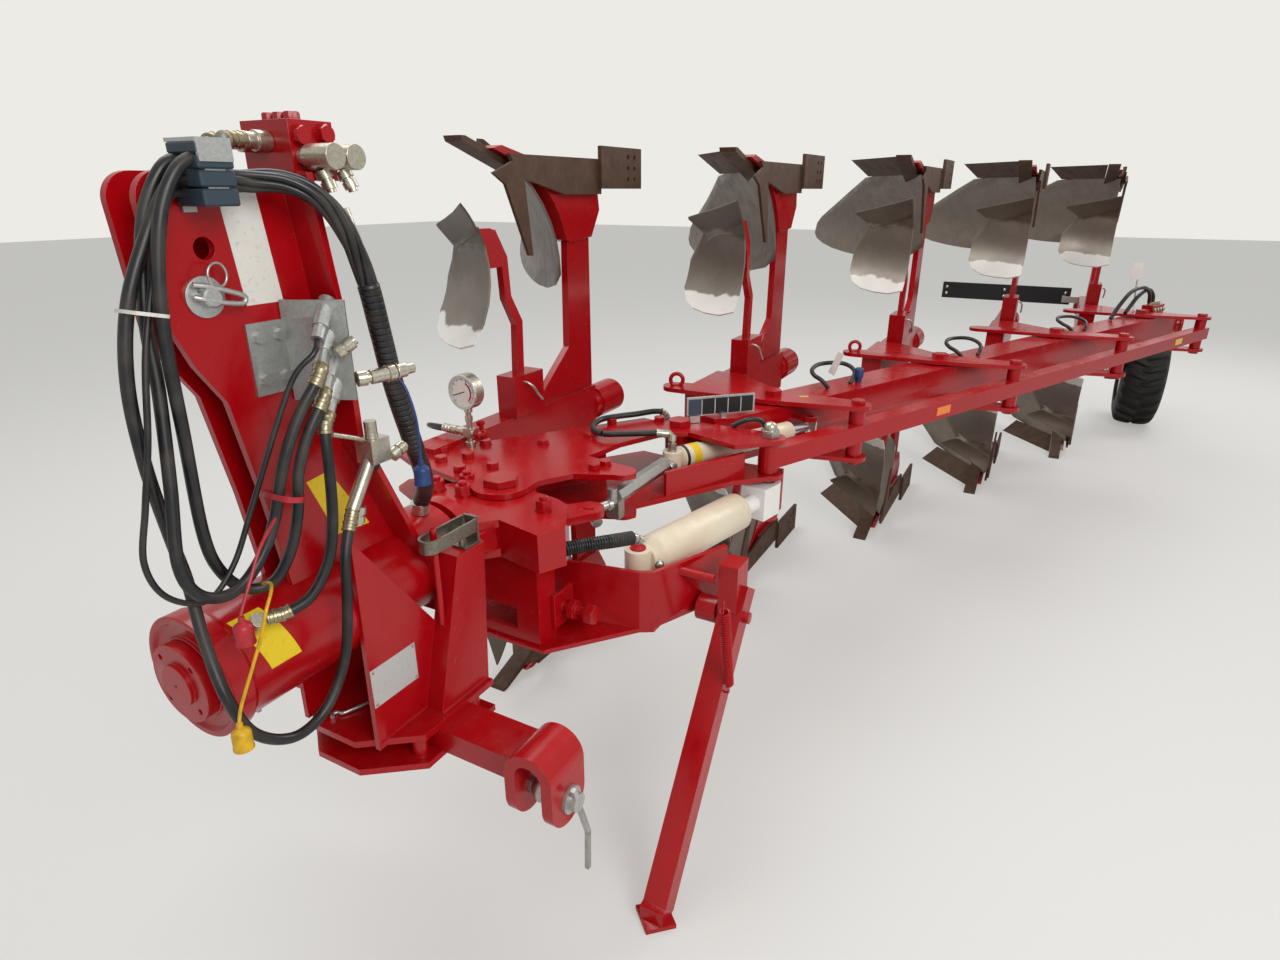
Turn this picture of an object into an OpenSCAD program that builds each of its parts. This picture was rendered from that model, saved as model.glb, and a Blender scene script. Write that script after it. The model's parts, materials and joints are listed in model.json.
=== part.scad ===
// Five-furrow mounted reversible moldboard plough with variable width, parked on its stand.
// Plough frame: X to the plough's left, Y to the rear, Z up from the floor, Y = 0 at the hub's
// front face, X = 0 in the turnover axis. Everything is then moved so that the origin is the
// middle of the floor under the machine.

/* [Layout] */
// Width cut by one body, across the direction of travel
furrow_w = 411; // [340:1:440]
// Distance from one body to the next, along the beam
body_pitch = 1000; // [950:5:1100]
// Height of the turnover axis, half way between the upper and the lower bodies
axis_h = 882; // [860:1:910]
// First share point, to the right of the turnover axis
first_tip_x = -343; // [-360:1:-320]
// First share point, behind the hub's face
first_tip_y = 1153; // [1140:1:1180]

/* [Beam and arms] */
// Side of the square main beam
beam_side = 150; // [130:5:160]
// Side of the square steering tube
steer_side = 60; // [50:2:64]
// Thickness of the arm plates
arm_t = 15; // [12:1:18]
// Arm pivot, in front of and beside the share point
arm_pivot = [278, -191]; // [-300:300]
// Arm pivot to steering pin
arm_crank = [285, 25]; // [0:300]
// Beam nose pivot, in front of the second arm's pivot
nose_gap = 410; // [400:5:420]
// Height of the plates of the swing frame above the turnover axis, to their underside
swing_z = 48; // [48:1:52]

/* [Headstock] */
// Outside radius of the hub flange
hub_r = 111; // [105:1:118]
// Radius of the turnover shaft
shaft_r = 50; // [44:1:56]
// Running clearance of the shaft
shaft_gap = 0.3; // [0.2:0.1:0.6]
// Thickness of the tower plates
tower_t = 14; // [12:1:18]
// Distance between the inner faces of the two top-link plates
top_link_w = 56; // [52:1:62]
// Width of the plate that closes the tower's back
back_w = 208; // [200:2:212]
// Height of the tower
tower_h = 1655; // [1620:5:1690]
// Radius of the top-link pin
top_pin_r = 15.9; // [12.7:0.1:15.9]
// Height of the lower-link pins
link_h = 550; // [540:1:560]
// Distance between the lower-link balls
link_spread = 870; // [850:5:890]
// Radius of the lower-link pins
link_pin_r = 18.3; // [14.2:0.1:18.3]
// Radius of the lower-link balls
link_ball_r = 28; // [26:1:30]

/* [Bodies] */
// Height of the mouldboard above the floor
board_h = 465; // [440:5:480]
// Length of the mouldboard along its furrow slice
board_len = 1070; // [1000:10:1100]
// Thickness of the mouldboard
board_t = 8; // [6:1:10]
// Radius of the mouldboard's curve
board_r = 410; // [390:5:440]
// Angle of the share to the direction of travel
share_a = 40; // [38:1:42]
// Distance from the share point to the share's edge
share_lead = 100; // [90:5:110]
// Length of the share's edge
share_len = 530; // [500:10:560]
// Thickness of the leg plates
leg_t = 25; // [20:1:30]

/* [Running gear] */
// Outside diameter of the tyre
tyre_d = 700; // [680:5:710]
// Width of the tyre
tyre_w = 270; // [250:5:290]
// Rim diameter
rim_d = 394; // [380:2:410]
// Height of the wheel arm's pivot to the axle, along the ground
wheel_back = 1027; // [1010:1:1040]

/* [Stand] */
// Side of the stand's square tube
stand_side = 60; // [50:2:66]
// Stand pivot
stand_pivot = [560, 1030]; // [500:1100]
// Stand foot
stand_foot = [551, 627, 0]; // [0:700]

/* [Hidden] */

// Origin of the part, in the plough frame
frame_x = 444;
frame_y = 3175;

red = "#c4161c";
steel = "#8d9094";
zinc = "#a9a9a0";
worn = "#5b4638";
board_grey = "#8a8c8f";
cream = "#e6dcc2";
white = "#ecebe4";
saddle_grey = "#3d4852";
black = "#1d1d1f";

// Gap between pieces that are bolted together, and running gap round a pin
fit = 0.3;
run = 0.3;
// Gap between arms and beam
slack = 5;

// Routes of the hoses, from the clamp or valve downwards
hose_1 = [
  [-25, 284, 1700], [-24, 254, 1699], [-2, 230, 1690], [26, 206, 1680], [52, 184, 1674], [57, 156, 1671], [57, 120, 1656],
  [55, 82, 1590], [60, 54, 1470], [72, 42, 1370], [90, 18, 1240], [104, -4, 1130], [108, 12, 1074], [110, 54, 1054],
  [111, 98, 1074], [113, 142, 1130], [119, 178, 1230], [126, 215, 1300], [134, 253, 1351], [125, 269, 1368]
];
hose_2 = [
  [10, 284, 1700], [12, 252, 1700], [38, 232, 1696], [72, 206, 1684], [92, 165, 1676], [93, 120, 1656],
  [92, 82, 1590], [91, 58, 1470], [86, 54, 1300], [78, 54, 1150], [76, 68, 1080], [84, 98, 1036], [102, 134, 1036],
  [117, 162, 1080], [124, 182, 1140], [126, 196, 1210], [132, 222, 1270], [134, 253, 1311], [125, 269, 1328]
];
hose_3 = [
  [73, 149, 1640], [73, 118, 1638], [73, 76, 1580], [71, 30, 1490], [70, 6, 1390], [70, 2, 1280], [60, 16, 1160],
  [66, 22, 1080], [96, 10, 990], [136, 2, 905], [152, 24, 830], [158, 84, 785], [158, 150, 800], [156, 202, 870],
  [153, 226, 965], [144, 246, 1050], [130, 284, 1112]
];
hose_4 = [
  [125, 269, 1288], [136, 249, 1268], [143, 240, 1200], [143, 230, 1110], [141, 210, 1045], [134, 174, 998],
  [118, 138, 982], [103, 109, 981]
];
bundle = [
  [76, 182, 1640], [78, 222, 1641], [102, 272, 1640], [126, 310, 1618], [135, 345, 1570], [138, 372, 1490],
  [138, 388, 1400], [134, 408, 1300], [122, 445, 1195], [86, 500, 1100], [50, 534, 1046], [26, 545, 1012]
];
cable_route = [
  [62, 149, 1622], [66, 118, 1620], [72, 84, 1560], [80, 34, 1430], [88, 4, 1310], [84, -18, 1220], [80, -36, 1140],
  [84, -20, 1080], [91, 30, 1050], [93, 80, 1088], [95, 128, 1170], [108, 186, 1290], [120, 222, 1360],
  [134, 253, 1391], [125, 269, 1408]
];

beam_a = asin(furrow_w / body_pitch);
beam_dir = [sin(beam_a), cos(beam_a)];

// Share point of body i, counted from 0
function tip(i) = [first_tip_x, first_tip_y] + i * body_pitch * beam_dir;
// Arm pivot of body i
function pivot(i) = tip(i) + arm_pivot;
// Steering pin of body i
function steer_pin(i) = pivot(i) + arm_crank;

nose = pivot(1) - nose_gap * beam_dir;
swing_pin = nose + arm_crank;
swing_hinge = [0, 840];

arm_z = beam_side / 2 + slack;
arm_top = arm_z + arm_t;
swing_t = 15;
swing_top = swing_z + swing_t;

module place() translate([-frame_x, -frame_y, 0]) children();
// Level of the turnover axis
module at_axis() translate([0, 0, axis_h]) children();
// Above and below the level of the turnover axis
module both() {
  children();
  mirror([0, 0, 1]) children();
}
// Lower and upper piece of a pair, drawn from the floor up
module pair() {
  children();
  translate([0, 0, 2 * axis_h]) mirror([0, 0, 1]) children();
}
// Left and right piece of a pair
module sides() {
  children();
  mirror([1, 0, 0]) children();
}
// Y along the beam from the second body's arm pivot
module on_beam() at(pivot(1), axis_h) rotate(-beam_a) children();
module at(p, z = 0) translate([p[0], p[1], z]) children();
// Plate in the YZ plane between two values of X
module yz_plate(x0, x1) translate([x0, 0, 0]) rotate([90, 0, 90]) linear_extrude(x1 - x0) children();
module y_cyl(r, y0, y1) translate([0, y0, 0]) rotate([-90, 0, 0]) cylinder(r = r, h = y1 - y0, $fn = 48);
module x_cyl(r, x0, x1) translate([x0, 0, 0]) rotate([0, 90, 0]) cylinder(r = r, h = x1 - x0, $fn = 48);
module z_cyl(r, z0, z1) translate([0, 0, z0]) cylinder(r = r, h = z1 - z0, $fn = 48);
// Hexagon head across its flats
module hex(flats, h) cylinder(d = flats / cos(30), h = h, $fn = 6);
// Tapered bar with round ends
module bar(a, b, ra, rb) hull() {
  translate(a) circle(ra, $fn = 32);
  translate(b) circle(rb, $fn = 32);
}
// Straight piece from a to b
module strut(a, b) {
  d = b - a;
  translate(a) rotate([0, acos(d[2] / norm(d)), atan2(d[1], d[0])]) linear_extrude(norm(d)) children();
}

// Headstock

plate_in = top_link_w / 2;
plate_out = plate_in + tower_t;
back_x = back_w / 2;
housing_r = hub_r - 7;
top_pin = [152, tower_h - 172];
top_hole = [167, tower_h - 105];
corner_r = 40;
bar_h = 55;
base_t = 15;
base_top = link_h + 50;
bar_y = [385, 485];
post_x = [111, 155];
post_top = axis_h + 48;
// Back plate's front face, from the top down: [y, z]
back_line = [[312, tower_h], [337, 1440], [340, 1225], [466, 926], [540, 750]];
back_t = 12;

module fork_plate() {
  polygon([
    [86, tower_h - corner_r], [86 + corner_r, tower_h - corner_r], [86 + corner_r, tower_h],
    back_line[0], back_line[1], back_line[2], back_line[3], [205, 926], [205, 985], [186, 1144], [156, 1322], [118, 1384], [96, 1440]
  ]);
  translate([86 + corner_r, tower_h - corner_r]) circle(corner_r, $fn = 48);
}

module base_plate() linear_extrude(base_t)
  polygon([[-170, 345], [-60, 262], [60, 262], [170, 345], [170, 560], [-170, 560]]);

module headstock() color(red) place() difference() {
  union() {
    sides() yz_plate(plate_in, plate_out) fork_plate();
    // bent back plate
    yz_plate(-back_x, back_x) polygon(concat(back_line, [for (k = [4:-1:0]) back_line[k] + [back_t, 0]]));
    // seat of the turnover valve
    translate([-62, 300, tower_h - 12]) cube([134, 120, 12]);
    // panels beside the hub housing
    sides() yz_plate(98, 110) polygon([[285, 1045], [470, 778], [560, 700], [560, base_top - base_t], [280, base_top - base_t]]);
    translate([0, 0, base_top - base_t]) base_plate();
    translate([0, 0, base_top - 2 * base_t - bar_h]) base_plate();
    // posts behind the panels
    sides() yz_plate(post_x[0] - 2, post_x[1]) polygon([[408, base_top - base_t], [562, base_top - base_t], [585, post_top], [500, post_top]]);
    // spacers between the base plates
    sides() for (y = [360, 525]) translate([135, y, 0]) z_cyl(16, base_top - base_t - bar_h - 1, base_top - base_t + 1);
  }
  at_axis() y_cyl(housing_r + fit, 0, 700);
  for (p = [top_pin, top_hole]) translate([0, p[0], p[1]]) x_cyl(top_pin_r + run, -100, 100);
  translate([-200, bar_y[0], base_top - base_t - bar_h]) cube([400, bar_y[1] - bar_y[0], bar_h]);
}

// Round casting that carries the turnover shaft
module hub_housing() color(red) place() at_axis() rotate([-90, 0, 0]) rotate_extrude($fn = 72) polygon([
  [shaft_r + shaft_gap, 26], [shaft_r + 24, 26], [shaft_r + 24, 32], [hub_r - 16, 32], [hub_r - 12, 26],
  [hub_r, 26], [hub_r, 62], [housing_r, 70], [housing_r, 585], [shaft_r + shaft_gap, 585]
]);

// Fittings on the housing that feed the turning part
module hub_fittings() color(steel) place() at_axis() {
  rotate([0, 45, 0]) translate([0, 95, 0]) z_cyl(13, housing_r + fit, housing_r + 44);
  rotate([0, 10, 0]) translate([0, 545, 0]) z_cyl(20, housing_r + fit, housing_r + 24);
}

// Cross bar with a fork for each lower link
fork_t = 24;
fork_half = 54;
fork_y = 385;
fork_x = link_spread / 2;

module fork() difference() {
  translate([fork_x, fork_y + 55, 0]) rotate([90, 0, 0]) linear_extrude(110) difference() {
    union() {
      translate([0, link_h + 60]) circle(fork_half, $fn = 64);
      translate([-fork_half, link_h - 58]) square([2 * fork_half, 118]);
    }
    translate([0, link_h + 60]) circle(fork_half - fork_t, $fn = 64);
    translate([-fork_half + fork_t, link_h - 70]) square([2 * (fork_half - fork_t), 130]);
  }
  // round ends of the two legs
  translate([fork_x - 100, fork_y, link_h]) difference() {
    translate([0, -60, -70]) cube([200, 120, 70]);
    x_cyl(55, -10, 210);
  }
  translate([0, fork_y, link_h]) x_cyl(link_pin_r + run, 300, 600);
}

module cross_bar() color(red) place() {
  translate([fork_half - fork_x, bar_y[0] + fit, base_top - base_t - bar_h + fit])
    cube([2 * (fork_x - fork_half), bar_y[1] - bar_y[0] - 2 * fit, bar_h - 2 * fit]);
  sides() fork();
}

module lower_pins() color(steel) place() sides() translate([fork_x, fork_y, link_h]) {
  x_cyl(link_pin_r, -fork_half + 2, -23);
  x_cyl(link_pin_r, 23, fork_half + 24);
  rotate([0, 90, 0]) rotate_extrude($fn = 64)
    polygon(concat([[0, -23], [0, 23]], [for (a = [55:-11:-55]) link_ball_r * [cos(a), sin(a)]]));
  x_cyl(link_pin_r + 9, fork_half + run, fork_half + 9);
  translate([fork_half + 14, 0, 0]) rotate([18, 0, 0]) translate([0, -5, -110]) cube([9, 10, 150]);
}

module top_link_pin() color(steel) place() translate([0, top_pin[0], top_pin[1]]) {
  x_cyl(top_pin_r, -plate_out - 22, plate_out + 26);
  sides() x_cyl(30, plate_out + fit, plate_out + 5);
  // handle bent back from the pin's end
  translate([plate_out + 12, -6, -7]) cube([9, 120, 14]);
}

// Latch on top of the left post
module latch_bracket() translate([post_x[0], 500, post_top + fit]) {
  translate([4, 30, 0]) cube([36, 50, 5]);
  translate([4, 70, 0]) cube([36, 6, 60]);
  translate([0, 0, 30]) linear_extrude(28) difference() {
    bar([22, -50], [22, 60], 22, 22);
    bar([22, -50], [22, 60], 17, 17);
  }
  translate([22, 40, 5]) z_cyl(6, 0, 40);
}

// Turnover valve on top of the tower
valve = [-50, 325, tower_h + fit];
valve_size = [112, 84, 76];

module turn_valve() place() translate(valve) {
  color(red) cube(valve_size);
  color(steel) valve_fittings();
}

module valve_fittings() {
  for (y = [20, 60]) translate([valve_size[0] + fit, y, 22]) {
    x_cyl(14, 0, 16);
    x_cyl(19, 16, 74);
  }
  for (x = [25, 60]) translate([x, 0, 45]) {
    y_cyl(16, -24, -fit);
    y_cyl(12.5, -40, -24);
  }
  for (x = [18, 44, 70]) translate([x, 44, valve_size[2] + fit]) hex(20, 8);
}

// Clamp on the tower's left side that holds the hoses, under a bent cap
module hose_guide() translate([plate_out + fit, 0, 0]) {
  translate([0, 145, tower_h - 55]) cube([5, 20, 94]);
  translate([0, 140, tower_h + 35]) cube([70, 50, 5]);
  translate([65, 140, tower_h + 10]) cube([5, 50, 26]);
  color(saddle_grey) translate([5, 150, tower_h - 43]) cube([58, 30, 46]);
}

// Plate bolted to the tower's left side, bent outwards for the hose couplers
coupler_bend = [plate_out + fit, 275, 1300];
coupler_turn = -62;
coupler_dip = 42;

module coupler_plate() {
  translate([plate_out + fit, 205, 1320]) cube([5, 75, 115]);
  translate(coupler_bend) rotate(coupler_turn) cube([5, 105, 165]);
  for (y = [222, 260], z = [1345, 1412]) translate([plate_out + 5, y, z]) rotate([0, 90, 0]) hex(17, 8);
  translate(coupler_bend) rotate(coupler_turn) for (z = [25:40:145])
    translate([3, 70, z]) rotate([0, 90 + coupler_dip, 0]) {
      z_cyl(13, -26, 30);
      z_cyl(10, 30, 54);
    }
}

module brackets() color(zinc) place() {
  latch_bracket();
  hose_guide();
  coupler_plate();
}

// Stop valve beside the back plate, with the crimped end of its hose
module stop_valve() color(steel) place() {
  translate([back_x + fit, 330, 1180]) cube([40, 42, 44]);
  translate([back_x + 20, 351, 1224]) z_cyl(11, 0, 30);
  strut([124, 340, 1186], hose_3[len(hose_3) - 1]) circle(12, $fn = 32);
}

// Rotor: turns with the shaft and carries the swing frame

rotor_z = [27, swing_z - 1];
stand_top = [stand_pivot[0], stand_pivot[1], axis_h - 252];
rotor_outline = [
  [-150, 690], [-70, 640], [70, 640], [110, 690], [238, 662], [269, 725], [202, 837], [158, 856],
  [85, 868], [62, 905], [-62, 905], [-150, 800]
];

module rotor() color(red) place() difference() {
  union() {
    at_axis() y_cyl(100, 606, 640);
    at_axis() both() translate([0, 0, rotor_z[0]]) linear_extrude(rotor_z[1] - rotor_z[0]) polygon(rotor_outline);
    // block between the plates
    at_axis() translate([-100, 620, -rotor_z[0] - 1]) cube([200, 130, 2 * rotor_z[0] + 2]);
    // rim along the free edges
    at_axis() translate([0, 0, -rotor_z[0] - 1]) linear_extrude(2 * rotor_z[0] + 2)
      polygon([[99, 689], [110, 690], [238, 662], [269, 725], [202, 837], [190, 830], [253, 726], [231, 677], [108, 704]]);
    // lug with its pin
    at_axis() translate([0, 0, 2]) linear_extrude(20) bar([150, 800], [222, 897], 45, 38);
    at_axis() translate([222, 897, 21]) z_cyl(15, 0, 5);
    // hanger plates of the box
    for (x = [-60, 188]) translate([x, 712, box_z[0] + fit]) cube([12, 60, axis_h - rotor_z[1] - box_z[0]]);
    difference() {
      translate([-60, 702, box_z[0] + fit]) cube([260, 12, axis_h - rotor_z[1] - box_z[0]]);
      translate([-34, 690, box_z[0] + 30]) cube([170, 40, 60]);
    }
  }
  at(swing_hinge, axis_h) z_cyl(30 + run, -100, 100);
}

// Bent plate round the swing cylinder, with its floor
box_z = [axis_h - 272, axis_h - 117];
box_t = 12;
box_line = [[110, 842], [368, 886], [400, 905], [498, 1130]];

module rotor_box() color(red) place() {
  union() {
    translate([0, 0, box_z[0]]) linear_extrude(box_z[1] - box_z[0])
      polygon(concat(box_line, [[486, 1135], [391, 914], [362, 897], [108, 854]]));
    translate([0, 0, box_z[0] - box_t + 0.1]) linear_extrude(box_t) polygon([[-70, 695], [215, 695], [368, 886], [400, 905], [400, 1000], [-70, 854]]);
    // pin of the swing cylinder
    at(swing_eye) z_cyl(32, box_z[0] - 1, swing_cyl_z - 41);
    at(swing_eye) z_cyl(20, box_z[0] - 1, swing_cyl_z + 44);
    translate([stand_top[0] - 92, stand_top[1], stand_top[2]]) x_cyl(34, 0, 52);
    // pin of the stand
    translate(stand_top) x_cyl(15, -92, 44);
    // rod that locks the stand
    translate([0, 985, stand_top[2] + 112]) x_cyl(11, 430, stand_top[0] - 36);
  }
}

module turn_shaft() color(red) place() at_axis() {
  y_cyl(shaft_r, 20, 606 - fit);
  difference() {
    y_cyl(70, 7, 25.5);
    for (a = [45:90:315]) translate([56 * cos(a), 0, 56 * sin(a)]) y_cyl(5, 0, 16);
  }
  y_cyl(38, 0, 7);
}

module adjuster() color(red) place() translate([0, 790, axis_h - 202]) {
  x_cyl(13, 200 + fit, 300);
  translate([280, 0, 0]) rotate([0, 90, 0]) hex(46, 22);
  translate([232, 0, 0]) rotate([0, 90, 0]) hex(46, 18);
  translate([200 + fit, -40, -45]) cube([12, 80, 90]);
}

// Cylinder that swings the beam in line for turning over

swing_cyl_z = axis_h - 127;
swing_cyl_r = 55;
swing_eye = [330, 950];
// Play of the far eye round its pin
swing_play = 4;
swing_line = swing_pin - swing_eye;
swing_len = norm(swing_line);

module on_swing_cyl() at(swing_eye, swing_cyl_z) rotate(atan2(-swing_line[0], swing_line[1])) children();

module swing_barrel() color(cream) place() on_swing_cyl() difference() {
  union() {
    rotate([-90, 0, 0]) rotate_extrude($fn = 64) polygon([
      [0, 24], [38, 24], [38, 34], [swing_cyl_r, 54], [swing_cyl_r, 428], [swing_cyl_r - 14, 446], [26, 450], [26, 62], [0, 62]
    ]);
    z_cyl(34, -40, 40);
  }
  z_cyl(20 + run, -60, 60);
}

module swing_rod() place() on_swing_cyl() {
  color(steel) y_cyl(25.6, 90, swing_len - 75);
  color(white) swing_clevis();
}

module swing_clevis() difference() {
  union() {
    translate([-42, swing_len - 76 + fit, -50]) cube([84, 76, 100]);
    translate([0, swing_len, 0]) z_cyl(42, -50, 50);
  }
  translate([0, swing_len, 0]) z_cyl(20 + swing_play, -60, 60);
}

// Stand

module stand() color(red) place() difference() {
  union() {
    strut(stand_top - 0.1 * (stand_foot - stand_top), stand_foot + [0, 14, 22]) square(stand_side, center = true);
    translate([stand_foot[0] - 55, stand_foot[1] - 45, 0]) linear_extrude(12) polygon([[55, 0], [110, 50], [55, 100], [0, 50]]);
    translate([stand_foot[0] - 30, stand_foot[1] - 20, 6]) cube([60, 62, 46]);
    translate([stand_top[0] - 32, stand_top[1] - 30, stand_top[2] + 20]) cube([50, 70, 125]);
  }
  translate(stand_top) x_cyl(15 + run, -60, 60);
}

// Swing frame: carries the first body and the front of the beam

// Open outline between finger and cylinder pin, on the upper plate only
cut_out = [[80, 1121], [101, 1262], [159, 1402], [230, 1450], [300, 1432], [401, 1403]];

module swing_outline() difference() {
  union() {
    polygon([
      [-75, 840], [-60, 800], [-330, 860], [-430, 905], [-445, 960], [-400, 1010], [-250, 1090], [40, 1520],
      [nose[0] - 58, nose[1] + 10], [nose[0], nose[1] + 60], [swing_pin[0], swing_pin[1] + 44],
      [swing_pin[0] + 20, swing_pin[1] - 40], cut_out[5], cut_out[4], cut_out[3], cut_out[2], cut_out[1], cut_out[0],
      [225, 1099], [262, 1062], [220, 1029], [120, 985], [72, 900], [75, 840]
    ]);
    translate(swing_hinge) circle(75, $fn = 48);
    translate(swing_pin) circle(46, $fn = 48);
    translate([222, 1064]) circle(36, $fn = 48);
    translate(nose) circle(62, $fn = 48);
  }
  translate(swing_hinge) circle(30 + run, $fn = 48);
  translate(swing_pin) circle(20 + fit, $fn = 48);
  translate(nose) circle(25 + fit, $fn = 48);
}

module swing_frame() color(red) place() {
  at_axis() translate([0, 0, swing_z]) linear_extrude(swing_t) swing_outline();
  at_axis() translate([0, 0, -swing_top]) linear_extrude(swing_t) {
    swing_outline();
    // full plate below the width cylinder
    difference() {
      polygon([cut_out[5], cut_out[4], cut_out[3], cut_out[2], cut_out[1], cut_out[0], [225, 1099]]);
      translate(width_eye) circle(14 + fit, $fn = 32);
    }
  }
  // web between the plates
  at_axis() translate([0, 0, -swing_z]) linear_extrude(2 * swing_z) difference() {
    polygon([[-200, 1000], [-110, 960], [60, 1250], [-20, 1330]]);
    polygon([[-183, 1005], [-116, 976], [44, 1249], [-16, 1309]]);
  }
  // left wall, lower than the upper plate
  at_axis() translate([0, 0, -swing_z - 1]) linear_extrude(72) polygon([[271, 1207], [282, 1201], [412, 1462], [401, 1468]]);
  // lug below the swing cylinder's eye
  at(swing_pin, swing_cyl_z - 70) linear_extrude(14) difference() {
    bar([0, 0], [-20, 86], 38, 34);
    circle(20 + fit, $fn = 48);
  }
  at(swing_pin + [-60, 70], swing_cyl_z - 70) cube([84, 16, axis_h - swing_top - swing_cyl_z + 71]);
  at(tip(0)) carrier();
}

module swing_pins() color(steel) place() {
  at(swing_hinge, axis_h) {
    z_cyl(30, -swing_top - 18, swing_top + 12);
    translate([0, 0, swing_top + fit]) hex(80, 18);
  }
  at(nose, axis_h) {
    z_cyl(25, -swing_top - 12, swing_top + 12);
    translate([0, 0, swing_top + fit]) hex(64, 20);
  }
  at(swing_pin, axis_h) {
    z_cyl(20, swing_cyl_z - axis_h - 76, swing_top + 12);
    translate([0, 0, swing_top + fit]) hex(50, 22);
  }
  for (p = [[-150, 860], [-200, 950], [-90, 920], [150, 1040], [-20, 1420]]) at(p, axis_h + swing_top + fit) hex(30, 16);
}

module width_scale() color(black) place() {
  translate([185, 1535, axis_h + swing_top + fit]) rotate(45) {
    translate([0, 0, 0]) cube([40, 6, 20]);
    translate([0, 0, 18]) cube([230, 6, 62]);
    for (k = [0:4]) translate([6 + 44 * k, -4 - fit, 24]) cube([40, 4, 50]);
  }
}

gauge_at = [-262, 1035];
module gauge() color(steel) place() at(gauge_at, axis_h + swing_top + fit) {
  z_cyl(14, 0, 12);
  z_cyl(8, 12, 120);
  translate([0, 0, 40]) cube([30, 24, 24], center = true);
  translate([0, -14, 160]) y_cyl(50, 0, 30);
}

// Width cylinder between the swing frame and the beam

width_eye = [228, 1345];
width_ear = [130, 460];
width_end = nose + width_ear[1] * beam_dir + width_ear[0] * [cos(beam_a), -sin(beam_a)];
width_z = 8;
width_line = width_end - width_eye;
width_len = norm(width_line);

module on_width_cyl() at(width_eye, axis_h + width_z) rotate(atan2(-width_line[0], width_line[1])) children();

module width_barrel() color(cream) place() on_width_cyl() difference() {
  union() {
    rotate([-90, 0, 0]) rotate_extrude($fn = 48)
      polygon([[0, 20], [26, 24], [34, 30], [34, 100], [32, 102], [32, width_len - 101], [16.4, width_len - 93], [16.4, 120], [0, 120]]);
    z_cyl(28, -26, 26);
  }
  z_cyl(14 + run, -60, 60);
}

module width_rod() color(steel) place() on_width_cyl() difference() {
  union() {
    y_cyl(16, 160, width_len - 16);
    translate([0, width_len, 0]) z_cyl(24, -18, 18);
  }
  translate([0, width_len, 0]) z_cyl(12 + run, -60, 60);
}

// Hexagon feed bar on the swing frame's lower plate, beside the width cylinder
module feed_block() color(steel) place() {
  translate([width_eye[0], width_eye[1], 0]) z_cyl(14, axis_h - swing_top - 6, axis_h + width_z + 34);
  translate([210, 1000, axis_h - swing_z + fit]) cube([36, 30, 48]);
  translate([228, 1015, axis_h + 8]) rotate([-90, 0, 0]) cylinder(d = 44, h = 285, $fn = 6);
  translate([228, 1000, axis_h + 8]) z_cyl(13, -10, 30);
}

// Beam

half = beam_side / 2;
beam_start = 145 - nose_gap;
beam_stop = 3290;
wheel_back_y = 3400;

module beam() color(red) place() on_beam() difference() {
  union() {
    translate([0, 0, -half]) linear_extrude(beam_side) polygon([
      [-half, beam_start - 20], [30 - half, beam_start - 40], [half - 30, beam_start - 40], [half, beam_start + 20],
      [half, beam_stop], [-half, beam_stop]
    ]);
    translate([-45, -nose_gap, -swing_z + 1]) cube([90, 130, 2 * (swing_z - 1)]);
    translate([0, -nose_gap, 0]) z_cyl(45, 1 - swing_z, swing_z - 1);
    // ear of the width cylinder
    for (z = [width_z - 34, width_z + 20]) translate([0, 0, z]) linear_extrude(14) bar(ear_at, [half - 15, ear_at[1] + 10], 26, 36);
    // sleeve of the wheel arm
    translate([0, 0, -45]) linear_extrude(90) polygon([[-half, beam_stop - 1], [half, beam_stop - 1], [56, wheel_back_y + 24], [-82, wheel_back_y - 37]]);
    translate([0, wheel_back_y, 0]) rotate(beam_a) x_cyl(56, -90, 60);
  }
  translate([10 - half, beam_start + 30, 10 - half]) cube([beam_side - 20, beam_stop - beam_start - 45, beam_side - 20]);
  translate([0, -nose_gap, 0]) z_cyl(25 + run, -60, 60);
  translate([ear_at[0], ear_at[1], 0]) z_cyl(12 + fit, -60, 60);
  translate([0, wheel_back_y, 0]) rotate(beam_a) x_cyl(wheel_shaft_r + run, -160, 70);
  for (i = [0:3]) translate([0, body_pitch * i, 0]) z_cyl(30 + run, -100, 100);
}

// Far eye of the width cylinder, along the beam
ear_at = [
  (width_end - pivot(1)) * [cos(beam_a), -sin(beam_a)],
  (width_end - pivot(1)) * beam_dir
];

module rear_valve() color(red) place() on_beam() translate([0, 3060, beam_side / 2 + fit]) {
  translate([-45, 40, 0]) cube([60, 160, 52]);
  for (k = [0:3]) color(steel) translate([-15, 60 + 38 * k, 52 + fit]) hex(24, 16);
}

// Arms with the carriers of the bodies

module arm_outline() difference() {
  union() {
    bar(arm_pivot + arm_crank, arm_pivot, 42, 72);
    bar(arm_pivot, [-68, -222], 72, 48);
    polygon([[-30, -200], [260, -190], [290, -125], [60, 60], [-30, 60]]);
  }
  translate(arm_pivot + arm_crank) circle(15 + run, $fn = 48);
}

carrier_x = [-30, 50];
carrier_y = [-232, 612];

// Box between the arm plates, with the trip cylinder behind it
module carrier() at_axis() {
  translate([carrier_x[0], carrier_y[0], -arm_z]) cube([carrier_x[1] - carrier_x[0], carrier_y[1] - carrier_y[0], 2 * arm_z]);
  translate([10, 0, 0]) {
    y_cyl(52, carrier_y[1] - 1, 640);
    y_cyl(62, 640, 785);
  }
}

module arms(i) color(red) place() at(tip(i)) {
  at_axis() both() translate([0, 0, arm_z]) linear_extrude(arm_t) arm_outline();
  carrier();
  at(arm_pivot, axis_h) z_cyl(30, -arm_top + 1, arm_top - 1);
  at_axis() both() at(arm_pivot, arm_top - 0.5) hex(56, 20);
  // lifting eye
  if (i < 3) at_axis() translate([-68, -222, arm_top + 20]) rotate([90, 0, 20]) rotate_extrude($fn = 32) translate([22, 0]) circle(7, $fn = 24);
}

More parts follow.
